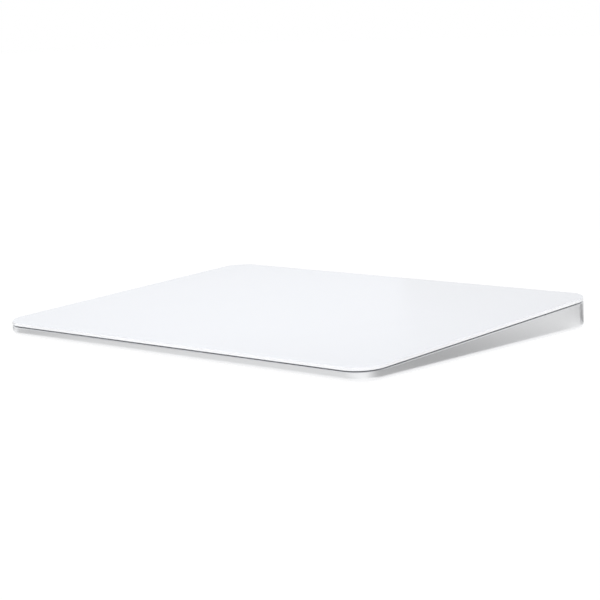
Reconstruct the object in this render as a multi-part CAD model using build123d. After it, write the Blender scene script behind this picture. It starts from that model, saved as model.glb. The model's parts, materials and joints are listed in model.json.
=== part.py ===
from build123d import *
import math
import os

# A wireless glass trackpad: a thin wedge, low at its front edge and high at its rear edge.
# Millimetres, +Z up. X runs across the width, Y from the front edge to the rear edge.
# The origin lies on the desk, under the middle of the body.
# A base plate closes the housing from below and carries the battery, boards, switch and
# socket. The deck, glass on top, floats on four gel pads that stand on four force beams.

# The wedge
body_width = 160.0
body_depth = 114.9
front_height = 4.9
rear_height = 10.9
corner_radius = 8.6
least_corner_radius = 1.5
foot_lift = 0.6

# Clearances and running gaps
cut_overrun = 1.0
fit_clearance = 0.02
hole_clearance = 0.15
lap_clearance = 0.15
deck_running_gap = 0.3
press_travel = 0.2
press_margin = 0.15

# Deck layers, each measured down from the glass face
glass_thickness = 1.2
glass_edge_round = 0.3
adhesive_thickness = 0.1
sensor_board_thickness = 0.5
stiffener_thickness = 0.5
stiffener_inset = 8.0
trim_width = 1.0
trim_height = 1.0
reveal_height = 0.3

# Housing, skin and base plate
wall_thickness = 2.0
housing_bottom_round = 1.4
rim_round = 0.15
flange_width = 3.0
flange_thickness = 0.7
skin_setback = 0.1
skin_thickness = 0.3
plate_thickness = 0.8

# Screws
screw_radius = 0.6
screw_head_radius = 1.25
screw_head_height = 0.45
drive_length = 1.5
drive_width = 0.35
drive_depth = 0.22
flat_head_radius = 1.3
flat_head_height = 0.5
post_radius = 1.6
post_spigot_radius = 1.15
front_screw_shares = (-0.34, 0, 0.34)
rear_screw_shares = (-0.42, -0.13, 0.13, 0.42)
side_screw_shares = (-0.12, 0.14)

# Feet
foot_radius = 5.5
foot_edge_round = 0.3
foot_side_distance = 18.0
foot_end_distance = 15.5

# Force beams and gel pads
beam_length = 24.0
beam_width = 8.0
beam_thickness = 0.5
beam_side_gap = 8.0
beam_end_gap = 7.0
beam_screw_pitch = 4.4
waist_length = 9.0
waist_width = 5.0
waist_round = 1.2
beam_screw_grip = 3.5
pad_radius = 3.0
pad_height = 0.45
pad_seat_margin = 0.8
pad_seat_drop = 0.1
gauge_length = 4.0
gauge_width = 2.6
gauge_thickness = 0.1

# Haptic actuator
haptic_length = 38.0
haptic_width = 18.0
haptic_corner_radius = 1.5
haptic_lug_length = 5.0
haptic_lug_screw_inset = 2.4
haptic_sheet = 0.4
haptic_gap = 0.2
spring_room = 5.1
mass_side_gap = 1.1
coil_between_gap = 0.5
coil_end_gap = 1.25
coil_side_gap = 0.5
coil_band = 3.0
coil_thickness = 0.5
magnet_end_wall = 1.5
magnet_width = 2.6
leaf_thickness = 0.2
leaf_bend_radius = 0.45
leaf_half_width_share = 0.38
leaf_fold_shares = (0.25, 0.36, 0.64, 0.75)

# Logic board
board_length = 27.0
board_width = 26.0
board_beam_gap = 0.5
board_rear_gap = 1.0
board_thickness = 0.7
board_stand = 0.8
board_corner_radius = 1.2
board_screw_inset = 2.4
shield_length = 12.0
shield_chip_gap = 1.25
shield_rear_gap = 5.0
radio_gap = 1.75
shield_height = 1.3
shield_sheet = 0.15
shield_side_gap = 6.5
chip_size = 6.5
chip_side_gap = 5.7
chip_height = 0.9
small_chip_size = 3.0
small_chip_height = 0.6
small_chip_pitch = 4.5
battery_plug_inset = 7.6
coax_reach = 3.5
connector_height = 1.0
connector_depth = 2.6
flex_thickness = 0.15
flex_bend_radius = 0.7

# Deck electronics
controller_size = 8.0
controller_height = 0.8
controller_place_share = 0.26
window_length = 14.0
window_width = 12.0
window_corner_radius = 1.5
sensor_connector_length = 11.0

# Battery
battery_beam_gap = 8.0
battery_rear_gap = 0.65
battery_depth = 25.5
battery_edge_round = 1.2
battery_air = 0.15
tape_thickness = 0.15
tape_width = 16.0
terrace_depth = 3.0
terrace_length = 18.0
terrace_height = 0.4
terrace_rise = 0.45
terrace_board_thickness = 0.8
battery_flex_width = 6.0

# Antenna
antenna_length = 24.0
antenna_width = 6.0
antenna_height = 2.7
antenna_side_gap = 0.5
antenna_foil = 0.12
antenna_slot = 0.8
antenna_slot_shares = (-0.3, 0, 0.3)
coax_radius = 0.4
coax_plug_radius = 1.1
coax_plug_height = 0.9

# Charge socket
rear_opening_height = 5.3
socket_width = 8.94
socket_height = 3.16
socket_wall = 0.3
socket_length = 7.9
socket_setback = 0.45
socket_opening_gap = 0.25
tongue_width = 6.69
tongue_height = 0.7
tongue_setback = 0.6
tongue_base = 1.6
contact_count = 12
contact_pitch = 0.5
contact_width = 0.25
contact_length = 3.4
contact_height = 0.05
gasket_width = 0.9
gasket_depth = 0.8
socket_board_length = 19.0
socket_board_thickness = 0.8
clamp_depth = 3.4
clamp_sheet = 0.4
clamp_ear = 4.0
clamp_screw_offset = 2.4
socket_flex_width = 1.8

# Power switch
switch_x = -42.0
knob_length = 5.4
knob_height = 2.2
knob_gap = 0.2
knob_setback = 0.25
knob_edge_round = 0.15
switch_travel = 2.6
carrier_thickness = 0.7
carrier_height = 4.0
carrier_overlap = 1.0
carrier_gap = 0.15
mark_height = 1.9
mark_length = 2.2
mark_thickness = 0.05
nub_length = 1.4
nub_height = 1.2
nub_reach = 0.8
body_gap = 0.1
switch_body_length = 8.6
switch_body_height = 3.4
switch_body_depth = 2.2
terminal_length = 3.0
terminal_height = 1.2
bracket_sheet = 0.4
bracket_ear_pitch = 20.0
bracket_ear_radius = 2.0

# Rear flex
flex_run_width = 3.0
flex_side_gap = 1.8

# Levels above the desk
skin_bottom = foot_lift + skin_setback
plate_bottom = skin_bottom + skin_thickness
plate_top = plate_bottom + plate_thickness
flange_top = plate_top + flange_thickness
board_bottom = plate_top + board_stand
board_top = board_bottom + board_thickness

# Drops below the glass face
board_drop = glass_thickness + adhesive_thickness
stiffener_drop = board_drop + sensor_board_thickness
deck_drop = stiffener_drop + stiffener_thickness
rim_drop = glass_thickness + reveal_height
trim_inset = wall_thickness + deck_running_gap
layer_inset = trim_inset + trim_width + lap_clearance

# Places that several pieces share
half_width = body_width / 2
half_depth = body_depth / 2
wall_inside_y = half_depth - wall_thickness
flange_middle_inset = wall_thickness + flange_width / 2
deck_tilt = math.degrees(math.atan2(rear_height - front_height, body_depth))
thread_radius = screw_radius + fit_clearance
beam_x = half_width - wall_thickness - beam_side_gap - beam_width / 2
beam_middle_y = half_depth - wall_thickness - beam_end_gap - beam_length / 2
beam_end_reach = (beam_length - beam_width) / 2
pad_y = beam_middle_y + beam_end_reach
under_deck_gap = press_travel + press_margin
beam_inner_x = beam_x - beam_width / 2
antenna_x = antenna_side_gap + antenna_width / 2 + wall_thickness + flange_width - half_width
battery_bottom = plate_top + tape_thickness

# Layout from the rear wall forwards: socket clamp, rear flex, battery, logic board
clamp_y = wall_inside_y - flange_width - post_radius - lap_clearance
flex_rear_edge = clamp_y - post_radius - lap_clearance
flex_front_edge = flex_rear_edge - socket_flex_width
battery_rear = flex_front_edge - battery_rear_gap
battery_front = battery_rear - battery_depth
battery_length = 2 * (beam_inner_x - battery_beam_gap)
board_rear = battery_front - terrace_depth - board_rear_gap
board_front = board_rear - board_width
board_left = board_beam_gap - beam_inner_x
board_right = board_left + board_length
flex_left = flex_side_gap - beam_inner_x
flex_middle = flex_left + flex_run_width / 2
flex_tail_y = board_front + board_width / 2

ON_FLOOR = (Align.CENTER, Align.CENTER, Align.MIN)
HANGING = (Align.CENTER, Align.CENTER, Align.MAX)
LOW_CORNER = (Align.MIN, Align.MIN, Align.MIN)


def deck_height(y, drop):
    """Height above the desk of the plane that lies drop below the glass face, at depth y."""
    middle = (front_height + rear_height) / 2
    return middle + (rear_height - front_height) * y / body_depth - drop


def plan_outline(inset):
    """The body's rounded outline seen from above, moved inwards by inset."""
    radius = max(corner_radius - inset, least_corner_radius)
    return RectangleRounded(body_width - 2 * inset, body_depth - 2 * inset, radius)


def below_deck(drop):
    """A block that fills everything under the plane that lies drop below the glass face."""
    reach = body_depth
    side = Polyline(
        (-reach, deck_height(-reach, drop)),
        (reach, deck_height(reach, drop)),
        (reach, -reach),
        (-reach, -reach),
        close=True,
    )
    return extrude(Plane.YZ * make_face(side), amount=body_width, both=True)


def deck_layer(outline, drop, thickness):
    """A sheet of the tilted deck: a plan outline from drop to drop + thickness under the glass."""
    column = Pos(0, 0, -rear_height) * extrude(outline, 3 * rear_height)
    return (column & below_deck(drop)) - below_deck(drop + thickness)


def on_deck(x, y):
    """The tilted seat on the underside of the deck at a place in plan."""
    return Pos(x, y, deck_height(y, deck_drop)) * Rot(deck_tilt, 0, 0)


def plate(outline, bottom, thickness):
    """A level sheet with the given plan outline, standing at the given height."""
    return Pos(0, 0, bottom) * extrude(outline, thickness)


def block(x_span, y_span, z_span):
    """A box between two values on each axis."""
    size = [span[1] - span[0] for span in (x_span, y_span, z_span)]
    return Pos(x_span[0], y_span[0], z_span[0]) * Box(*size, align=LOW_CORNER)


def about(middle, length):
    """The span of the given length centred on middle."""
    return (middle - length / 2, middle + length / 2)


def corners(x, y):
    """The four places at plus and minus x and y: front left, front right, rear left, rear right."""
    return [(-x, -y), (x, -y), (-x, y), (x, y)]


def drive_recess():
    """The crossed recess of a screw head, cut down from the head's face at zero height."""
    bar = Box(drive_length, drive_width, 2 * drive_depth)
    return bar + Rot(0, 0, 90) * bar


def pan_screw(length):
    """A pan head screw pointing down, its head seated at zero height."""
    shank = Cylinder(screw_radius, length, align=HANGING)
    head = Cylinder(screw_head_radius, screw_head_height, align=ON_FLOOR)
    head = fillet(head.edges().sort_by(Axis.Z)[-1], screw_head_height / 3)
    return shank + head - Pos(0, 0, screw_head_height) * drive_recess()


def flat_screw(length):
    """A countersunk screw pointing up, its flat head face at zero height."""
    head = Cone(flat_head_radius, screw_radius, flat_head_height, align=ON_FLOOR)
    shank = Cylinder(screw_radius, length, align=ON_FLOOR)
    return head + shank - drive_recess()


def post(top):
    """A threaded standoff pressed into the base plate, with its collar reaching up to top."""
    collar = Pos(0, 0, plate_top) * Cylinder(post_radius, top - plate_top, align=ON_FLOOR)
    spigot = Pos(0, 0, plate_bottom) * Cylinder(post_spigot_radius, plate_thickness, align=ON_FLOOR)
    thread = Pos(0, 0, plate_bottom) * Cylinder(thread_radius, top, align=ON_FLOOR)
    return collar + spigot - thread


def ribbon(points, width):
    """A flat flex that follows points in a side plane and runs width across it."""
    path = FilletPolyline(*points, radius=flex_bend_radius)
    return extrude(trace(path, line_width=flex_thickness), width / 2, both=True)


# Places of the fasteners and posts


def flange_screw_places():
    """Where the base plate is screwed to the housing flange."""
    x_edge = half_width - flange_middle_inset
    y_edge = half_depth - flange_middle_inset
    places = [(share * body_width, -y_edge) for share in front_screw_shares]
    places += [(share * body_width, y_edge) for share in rear_screw_shares]
    for side in (-1, 1):
        places += [(side * x_edge, share * body_depth) for share in side_screw_shares]
    return places


def beam_screw_y(y):
    """Depth of the inboard end of a beam, where it is screwed down."""
    return y - math.copysign(beam_end_reach, y)


def beam_screw_places(x, y):
    """The two screws that hold one beam, given its middle."""
    return [(x + side * beam_screw_pitch / 2, beam_screw_y(y)) for side in (-1, 1)]


def beam_top(y):
    """Height of a beam's top face, as high as the deck over its pad and its screws allows."""
    low_side = math.copysign(pad_y, y) - pad_radius - pad_seat_margin
    over_pad = deck_height(low_side, deck_drop) - pad_seat_drop - pad_height
    over_screws = deck_height(beam_screw_y(y) - screw_head_radius, deck_drop)
    return min(over_pad, over_screws - under_deck_gap - screw_head_height)


def board_screw_places():
    """Three corners of the logic board, the front right one clear of the actuator's connector."""
    left = board_left + board_screw_inset
    right = board_right - board_screw_inset
    front = board_front + board_screw_inset
    rear = board_rear - board_screw_inset
    return [(left, front), (right - connector_depth, front), (right, rear)]


socket_screw_x = socket_width / 2 + clamp_screw_offset + fit_clearance
socket_board_front = flex_front_edge
socket_board_rear = wall_inside_y - gasket_depth - lap_clearance
socket_board_top = rear_opening_height - socket_height / 2
socket_board_bottom = socket_board_top - socket_board_thickness
socket_mouth_y = half_depth - socket_setback
socket_back_y = socket_mouth_y - socket_length
socket_screws = [(-socket_screw_x, clamp_y), (socket_screw_x, clamp_y)]


def post_places():
    """Every standoff as its place in plan and the height of its top."""
    places = []
    for x, y in corners(beam_x, beam_middle_y):
        places += [(px, py, beam_top(y) - beam_thickness) for px, py in beam_screw_places(x, y)]
    places += [(x, y, board_bottom) for x, y in board_screw_places()]
    places += [(x, y, socket_board_bottom) for x, y in socket_screws]
    return places


# Housing and base


def opening(width, height, x, depth):
    """A round-ended hole through the rear wall, running forwards by depth from outside."""
    outline = Plane.XZ * SlotOverall(width, height)
    hole = extrude(outline, depth + cut_overrun)
    return Pos(x, half_depth + cut_overrun, rear_opening_height) * hole


def switch_slot():
    """The slot in the rear wall that the power switch knob runs in."""
    length = knob_length + switch_travel + 2 * knob_gap
    return opening(length, knob_height + 2 * knob_gap, switch_x, wall_thickness + cut_overrun)


def housing_shell():
    """The one-piece aluminium wall: wedge, inner flange, socket opening and switch slot."""
    wedge = plate(plan_outline(0), foot_lift, rear_height) & below_deck(rim_drop)
    wedge = fillet(wedge.faces().sort_by(Axis.Z)[0].edges(), housing_bottom_round)
    wedge = fillet(wedge.faces().sort_by(Axis.Z)[-1].edges(), rim_round)
    inside = plan_outline(wall_thickness)
    shell = wedge - plate(inside, flange_top, rear_height)
    shell -= plate(inside, 0, plate_top)
    shell -= plate(plan_outline(wall_thickness + flange_width), 0, rear_height)
    shell -= opening(
        socket_width + 2 * socket_opening_gap,
        socket_height + 2 * socket_opening_gap,
        0,
        wall_thickness + cut_overrun,
    )
    shell -= switch_slot()
    hole = Cylinder(thread_radius, flange_top, align=ON_FLOOR)
    places = flange_screw_places() + bracket_screw_places()
    for x, y in places:
        shell -= Pos(x, y, plate_bottom) * hole
    return shell


def base_plate():
    """The plate that closes the housing from below and carries the standoffs."""
    sheet = plate(plan_outline(wall_thickness + lap_clearance), plate_bottom, plate_thickness)
    through = Cylinder(screw_radius + hole_clearance, plate_thickness, align=ON_FLOOR)
    sink = Cone(
        flat_head_radius + hole_clearance,
        screw_radius + hole_clearance,
        flat_head_height + hole_clearance,
        align=ON_FLOOR,
    )
    for x, y in flange_screw_places():
        sheet -= Pos(x, y, plate_bottom) * (through + sink)
    spigot_hole = Cylinder(post_spigot_radius + fit_clearance, plate_thickness, align=ON_FLOOR)
    for x, y, _ in post_places():
        sheet -= Pos(x, y, plate_bottom) * spigot_hole
    return sheet


def base_screws():
    """The countersunk screws that join the plate to the flange."""
    length = flange_top - plate_bottom
    return [Pos(x, y, plate_bottom) * flat_screw(length) for x, y in flange_screw_places()]


def foot_places():
    """The four feet, near the corners."""
    return corners(half_width - foot_side_distance, half_depth - foot_end_distance)


def base_skin():
    """The thin bonded sheet that hides the screws, with a hole round each foot."""
    sheet = plate(plan_outline(wall_thickness + lap_clearance), skin_bottom, skin_thickness)
    hole = Cylinder(foot_radius + hole_clearance, skin_thickness, align=ON_FLOOR)
    for x, y in foot_places():
        sheet -= Pos(x, y, skin_bottom) * hole
    return sheet


def foot(x, y):
    """One rubber foot, bonded to the plate and standing on the desk."""
    disc = Cylinder(foot_radius, plate_bottom, align=ON_FLOOR)
    disc = fillet(disc.edges().sort_by(Axis.Z)[0], foot_edge_round)
    return Pos(x, y, 0) * disc


# Deck


def touch_glass():
    """The white glass plate that is the whole top, with softened upper edges."""
    glass = deck_layer(plan_outline(0), 0, glass_thickness)
    return fillet(glass.faces().sort_by(Axis.Z)[-1].edges(), glass_edge_round)


def glass_adhesive():
    """The sheet of adhesive between the glass and its sensor board."""
    return deck_layer(plan_outline(layer_inset), glass_thickness, adhesive_thickness)


def touch_sensor_board():
    """The large board under the glass that senses the fingers."""
    return deck_layer(plan_outline(layer_inset), board_drop, sensor_board_thickness)


def deck_trim():
    """The dark frame under the glass edge that closes the reveal and guides the deck."""
    ring = plan_outline(trim_inset) - plan_outline(trim_inset + trim_width)
    return deck_layer(ring, glass_thickness, trim_height)


controller_x = controller_place_share * body_width
window_x = board_left + board_length / 2
window_y = board_front - window_width / 3


def deck_stiffener():
    """The pressed plate under the sensor board, with four pad seats pushed down out of it.

    It has a window for the chips and one for the connector, and is notched over the antenna.
    """
    sheet = plan_outline(stiffener_inset)
    window = RectangleRounded(window_length, window_width, window_corner_radius)
    sheet -= Pos(controller_x, 0) * window
    sheet -= Pos(window_x, window_y) * window
    notch = RectangleRounded(2 * antenna_width, antenna_length + antenna_slot, antenna_slot)
    sheet -= Pos(antenna_x - antenna_width / 2, 0) * notch
    layer = deck_layer(sheet, stiffener_drop, stiffener_thickness)
    for x, y in corners(beam_x, pad_y):
        seat = Pos(x, y, beam_top(y) + pad_height)
        cup = Cylinder(pad_radius + pad_seat_margin, rear_height, align=ON_FLOOR)
        layer += (seat * cup) & below_deck(stiffener_drop)
        hollow = Cylinder(pad_radius + pad_seat_margin - stiffener_thickness, rear_height, align=ON_FLOOR)
        layer -= seat * Pos(0, 0, stiffener_thickness) * hollow
    hole = Cylinder(thread_radius, 3 * stiffener_thickness)
    for x, y in haptic_screw_places():
        layer -= on_deck(0, 0) * Pos(x, y) * hole
    return layer


def touch_controller_chips():
    """The controller and two small chips on the underside of the sensor board."""
    gap = (window_length - controller_size) / 4
    chips = [deck_layer(Pos(controller_x - gap, 0) * Rectangle(controller_size, controller_size),
                        stiffener_drop, controller_height)]
    for side in (-1, 1):
        x = controller_x - gap + (controller_size + small_chip_size) / 2 + gap
        outline = Pos(x, side * small_chip_size) * Rectangle(small_chip_size, small_chip_size)
        chips.append(deck_layer(outline, stiffener_drop, small_chip_height))
    return chips


# Force sensing


def force_beam(x, y):
    """One spring steel beam: screwed down inboard, its free end under a corner of the deck."""
    outline = SlotOverall(beam_length, beam_width)
    notch = RectangleRounded(waist_length, beam_width, waist_round)
    for side in (-1, 1):
        outline -= Pos(0, side * (waist_width + beam_width) / 2) * notch
    sheet = plate(Rot(0, 0, 90) * outline, beam_top(y) - beam_thickness, beam_thickness)
    sheet = Pos(x, y) * sheet
    hole = Cylinder(screw_radius + hole_clearance, rear_height, align=ON_FLOOR)
    for px, py in beam_screw_places(x, y):
        sheet -= Pos(px, py) * hole
    return sheet


def gel_pads():
    """The soft pads between the free ends of the beams and the deck."""
    pad = Cylinder(pad_radius, pad_height, align=ON_FLOOR)
    return [Pos(x, y, beam_top(y)) * pad for x, y in corners(beam_x, pad_y)]


def strain_gauges():
    """The thin gauges bonded on the waists of the beams."""
    return [
        Pos(x, y, beam_top(y)) * Box(gauge_width, gauge_length, gauge_thickness, align=ON_FLOOR)
        for x, y in corners(beam_x, beam_middle_y)
    ]


def beam_screws():
    """The pan head screws that hold the beams on their posts."""
    screws = []
    for x, y in corners(beam_x, beam_middle_y):
        length = beam_top(y) - plate_bottom
        reach = min(length, beam_screw_grip)
        screws += [Pos(px, py, beam_top(y)) * pan_screw(reach) for px, py in beam_screw_places(x, y)]
    return screws


def posts(first, last):
    """The standoffs from first up to last, in the order of post_places."""
    return [Pos(x, y) * post(top) for x, y, top in post_places()[first:last]]


# Haptic actuator: built level under the deck's tilted seat

haptic_front = -haptic_width / 2
haptic_height = deck_height(haptic_front, deck_drop) - plate_top - under_deck_gap - haptic_gap
mass_height = haptic_height - 2 * haptic_sheet - coil_thickness - 2 * haptic_gap
mass_bottom = haptic_sheet + haptic_gap - haptic_height
haptic_lid_length = haptic_length + 2 * haptic_lug_length
mass_length = haptic_length - 2 * (haptic_sheet + spring_room)
mass_width = haptic_width - 2 * (haptic_sheet + mass_side_gap)
magnet_length = mass_width - 2 * magnet_end_wall
coil_length = (mass_length - coil_between_gap) / 2 - coil_end_gap
coil_width = mass_width - 2 * coil_side_gap
coil_pitch = coil_length + coil_between_gap


def haptic_screw_places():
    """The four screws through the lugs of the actuator's lid."""
    x = haptic_lid_length / 2 - haptic_lug_screw_inset
    return corners(x, haptic_width / 2 - haptic_lug_screw_inset)


def haptic_lid():
    """The actuator's mounting plate, with a lug at each corner."""
    sheet = RectangleRounded(haptic_lid_length, haptic_width, haptic_corner_radius)
    lid = plate(sheet, -haptic_sheet, haptic_sheet)
    hole = Cylinder(screw_radius + hole_clearance, 3 * haptic_sheet)
    for x, y in haptic_screw_places():
        lid -= Pos(x, y) * hole
    return on_deck(0, 0) * lid


def haptic_case():
    """The tray that hangs under the lid."""
    outline = RectangleRounded(haptic_length, haptic_width, haptic_corner_radius)
    inside = RectangleRounded(
        haptic_length - 2 * haptic_sheet,
        haptic_width - 2 * haptic_sheet,
        haptic_corner_radius - haptic_sheet,
    )
    depth = haptic_height - haptic_sheet
    tray = plate(outline, -haptic_height, depth)
    tray -= plate(inside, haptic_sheet - haptic_height, depth)
    return on_deck(0, 0) * tray


def haptic_coils():
    """Two flat wound coils fixed under the lid."""
    ring = RectangleRounded(coil_length, coil_width, coil_band)
    ring -= RectangleRounded(
        coil_length - 2 * coil_band, coil_width - 2 * coil_band, coil_band / 3
    )
    coil = plate(ring, -haptic_sheet - coil_thickness, coil_thickness)
    return [on_deck(0, 0) * Pos(side * coil_pitch / 2, 0) * coil for side in (-1, 1)]


def magnet_places():
    """The middle of each magnet bar, under the long legs of the coils."""
    leg = (coil_length - coil_band) / 2
    return [coil * coil_pitch / 2 + side * leg for coil in (-1, 1) for side in (-1, 1)]


def haptic_mass():
    """The heavy slab that the actuator shakes, with a slot for each magnet."""
    slab = Rectangle(mass_length, mass_width)
    for x in magnet_places():
        slab -= Pos(x, 0) * Rectangle(magnet_width, magnet_length)
    return on_deck(0, 0) * plate(slab, mass_bottom, mass_height)


def haptic_magnets():
    """The four magnet bars set in the mass."""
    bar = plate(
        Rectangle(magnet_width - 2 * fit_clearance, magnet_length - 2 * fit_clearance),
        mass_bottom,
        mass_height,
    )
    return [on_deck(0, 0) * Pos(x, 0) * bar for x in magnet_places()]


def haptic_springs():
    """The two folded leaf springs that hold the mass between the ends of the case."""
    start = mass_length / 2
    room = spring_room
    swing = leaf_half_width_share * mass_width
    turns = [start + share * room for share in leaf_fold_shares]
    points = [
        (start, -swing),
        (turns[0], -swing),
        (turns[1], swing),
        (turns[2], swing),
        (turns[3], -swing),
        (start + room, -swing),
    ]
    path = FilletPolyline(*points, radius=leaf_bend_radius)
    leaf = plate(trace(path, line_width=leaf_thickness), mass_bottom, mass_height)
    leaf &= plate(Rectangle(2 * (start + room), haptic_width), mass_bottom, mass_height)
    leaf -= plate(Rectangle(mass_length, haptic_width), mass_bottom, mass_height)
    return [on_deck(0, 0) * Rot(0, 0, turn) * leaf for turn in (0, 180)]


def haptic_screws():
    """The screws that hang the actuator from the stiffener."""
    length = haptic_sheet + stiffener_thickness
    screw = Rot(180, 0, 0) * pan_screw(length)
    return [on_deck(0, 0) * Pos(x, y, -haptic_sheet) * screw for x, y in haptic_screw_places()]


# Logic board and its flexes

battery_plug_x = board_right - battery_plug_inset
plug_room_front = max(board_front, -haptic_width / 2)
plug_room_rear = min(board_rear, haptic_width / 2)
haptic_plug_y = (plug_room_front + plug_room_rear) / 2
sensor_plug_x = window_x
coax_y = board_front + board_width * 2 / 3


def logic_board():
    """The main board on its three posts."""
    outline = Pos(board_left + board_length / 2, board_front + board_width / 2) * RectangleRounded(
        board_length, board_width, board_corner_radius
    )
    board = plate(outline, board_bottom, board_thickness)
    hole = Cylinder(screw_radius + hole_clearance, rear_height, align=ON_FLOOR)
    for x, y in board_screw_places():
        board -= Pos(x, y) * hole
    return board


def on_board(x, y, length, width, height):
    """A block of the given size standing on the logic board."""
    return Pos(x, y, board_top) * Box(length, width, height, align=ON_FLOOR)


chip_row_y = board_front + chip_size
shield_front = chip_row_y + chip_size / 2 + shield_chip_gap
shield_width = board_rear - shield_rear_gap - shield_front
shield_x = board_right - shield_side_gap - shield_length / 2
shield_y = shield_front + shield_width / 2


def board_shield():
    """The tinned can over the radio."""
    can = on_board(shield_x, shield_y, shield_length, shield_width, shield_height)
    can = fillet(can.edges().filter_by(Axis.Z), shield_sheet * 4)
    inner = on_board(
        shield_x,
        shield_y,
        shield_length - 2 * shield_sheet,
        shield_width - 2 * shield_sheet,
        shield_height - shield_sheet,
    )
    return can - inner


def board_chips():
    """The radio under its can, the main controller and the small chips round them."""
    first_x = board_left + chip_side_gap + chip_size / 2
    chips = [
        on_board(shield_x, shield_y, chip_size, shield_width - 2 * radio_gap, chip_height),
        on_board(first_x, chip_row_y, chip_size, chip_size, chip_height),
    ]
    for step in (1, 2):
        x = first_x + chip_size / 2 + step * small_chip_pitch
        chips.append(on_board(x, chip_row_y, small_chip_size, small_chip_size, small_chip_height))
    return chips


def board_connectors():
    """The four sockets that the flexes plug into: sensor, actuator, battery and rear flex."""
    sensor = on_board(
        sensor_plug_x, board_front + connector_depth / 2,
        sensor_connector_length, connector_depth, connector_height,
    )
    actuator = on_board(
        board_right - connector_depth / 2, haptic_plug_y,
        connector_depth, battery_flex_width + connector_height, connector_height,
    )
    battery = on_board(
        battery_plug_x, board_rear - connector_depth / 2,
        battery_flex_width + connector_height, connector_depth, connector_height,
    )
    rear = block(
        about(flex_middle, flex_run_width + connector_height),
        (flex_tail_y, flex_tail_y + connector_depth),
        (plate_top + flex_thickness, board_bottom),
    )
    return [sensor, actuator, battery, rear]


def sensor_connector():
    """The plug under the sensor board, inside the stiffener's window."""
    y = window_y - window_width / 2 + connector_depth
    outline = Pos(sensor_plug_x, y) * Rectangle(sensor_connector_length, connector_depth)
    return deck_layer(outline, stiffener_drop, connector_height)


def sensor_flex():
    """The wide flex that drops from the deck to the logic board in an S bend."""
    start_y = window_y - window_width / 2 + connector_depth * 3 / 2
    start_z = deck_height(start_y, stiffener_drop + connector_height / 2)
    end_z = board_top + connector_height / 2
    points = [
        (start_y, start_z),
        (start_y + connector_depth * 2 / 3, start_z),
        (board_front - connector_depth * 2 / 3, end_z),
        (board_front, end_z),
    ]
    width = sensor_connector_length - connector_height
    return Pos(sensor_plug_x, 0) * (Plane.YZ * ribbon(points, width))


def haptic_flex():
    """The flex from the actuator's case to the logic board."""
    start_x = -haptic_length / 2
    start_z = deck_height(haptic_plug_y, deck_drop) - haptic_height / 2
    end_z = board_top + connector_height / 2
    run = start_x - board_right
    points = [
        (start_x, start_z),
        (start_x - run / 3, start_z),
        (start_x - run * 2 / 3, end_z),
        (board_right, end_z),
    ]
    return Pos(0, haptic_plug_y) * (Plane.XZ * ribbon(points, battery_flex_width))


def board_screws():
    """The three screws of the logic board."""
    length = board_top - plate_bottom
    return [Pos(x, y, board_top) * pan_screw(length) for x, y in board_screw_places()]


# Battery

battery_top = deck_height(battery_front, deck_drop) - under_deck_gap - battery_air
terrace_bottom = battery_bottom + terrace_rise
terrace_top = terrace_bottom + terrace_height
terrace_board_top = terrace_top + terrace_board_thickness


def battery_cell():
    """The pouch cell, with the sealed terrace along its front edge."""
    pouch = block(
        about(0, battery_length), (battery_front, battery_rear), (battery_bottom, battery_top)
    )
    pouch = fillet(pouch.edges().filter_by(Axis.X), battery_edge_round)
    pouch = fillet(pouch.faces().sort_by(Axis.X)[0].edges(), battery_edge_round / 2)
    pouch = fillet(pouch.faces().sort_by(Axis.X)[-1].edges(), battery_edge_round / 2)
    terrace = block(
        about(battery_plug_x, terrace_length),
        (battery_front - terrace_depth, battery_front + battery_edge_round),
        (terrace_bottom, terrace_top),
    )
    return pouch + terrace


def battery_board():
    """The small protection board on the terrace."""
    return block(
        about(battery_plug_x, terrace_length),
        (battery_front - terrace_depth, battery_front - lap_clearance),
        (terrace_top, terrace_board_top),
    )


def battery_flex():
    """The short flex from the protection board to the logic board."""
    return block(
        about(battery_plug_x, battery_flex_width),
        (board_rear, battery_front - terrace_depth / 2),
        (terrace_board_top, terrace_board_top + flex_thickness),
    )


def battery_tapes():
    """The strips of adhesive that hold the cell down."""
    y_span = (battery_front + battery_edge_round, battery_rear - battery_edge_round)
    step = (battery_length - tape_width) / 2 - battery_edge_round
    return [
        block(about(side * step, tape_width), y_span, (plate_top, battery_bottom))
        for side in (-1, 0, 1)
    ]


# Antenna

antenna_top = plate_top + antenna_height


def antenna_carrier():
    """The plastic block that lifts the antenna towards the glass."""
    carrier = block(about(antenna_x, antenna_width), about(0, antenna_length), (plate_top, antenna_top))
    return fillet(carrier.edges().filter_by(Axis.Z), antenna_slot)


def antenna_foil_piece():
    """The slotted copper foil on the carrier."""
    width = antenna_width - 2 * antenna_slot
    sheet = Pos(antenna_x, 0) * Rectangle(width, antenna_length - 2 * antenna_slot)
    for number, share in enumerate(antenna_slot_shares):
        side = 1 if number % 2 else -1
        slot = Rectangle(width, antenna_slot)
        sheet -= Pos(antenna_x + side * antenna_slot * 2, share * antenna_length) * slot
    return plate(sheet, antenna_top, antenna_foil)


def antenna_cable():
    """The thin coax from the carrier to the logic board, with its round plug."""
    start = antenna_x + antenna_width / 2
    end = board_left + coax_reach
    z = board_top + coax_plug_height / 2
    lead = Pos((start + end) / 2, coax_y, z) * Rot(0, 90, 0) * Cylinder(coax_radius, end - start)
    plug = Pos(end, coax_y, board_top) * Cylinder(coax_plug_radius, coax_plug_height, align=ON_FLOOR)
    return lead + plug


# Charge socket


def rear_piece(outline, near, far):
    """An outline drawn as seen along the depth, made solid from depth near to depth far."""
    solid = extrude(Plane.XZ * outline, near - far)
    return Pos(0, near, rear_opening_height) * solid


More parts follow.
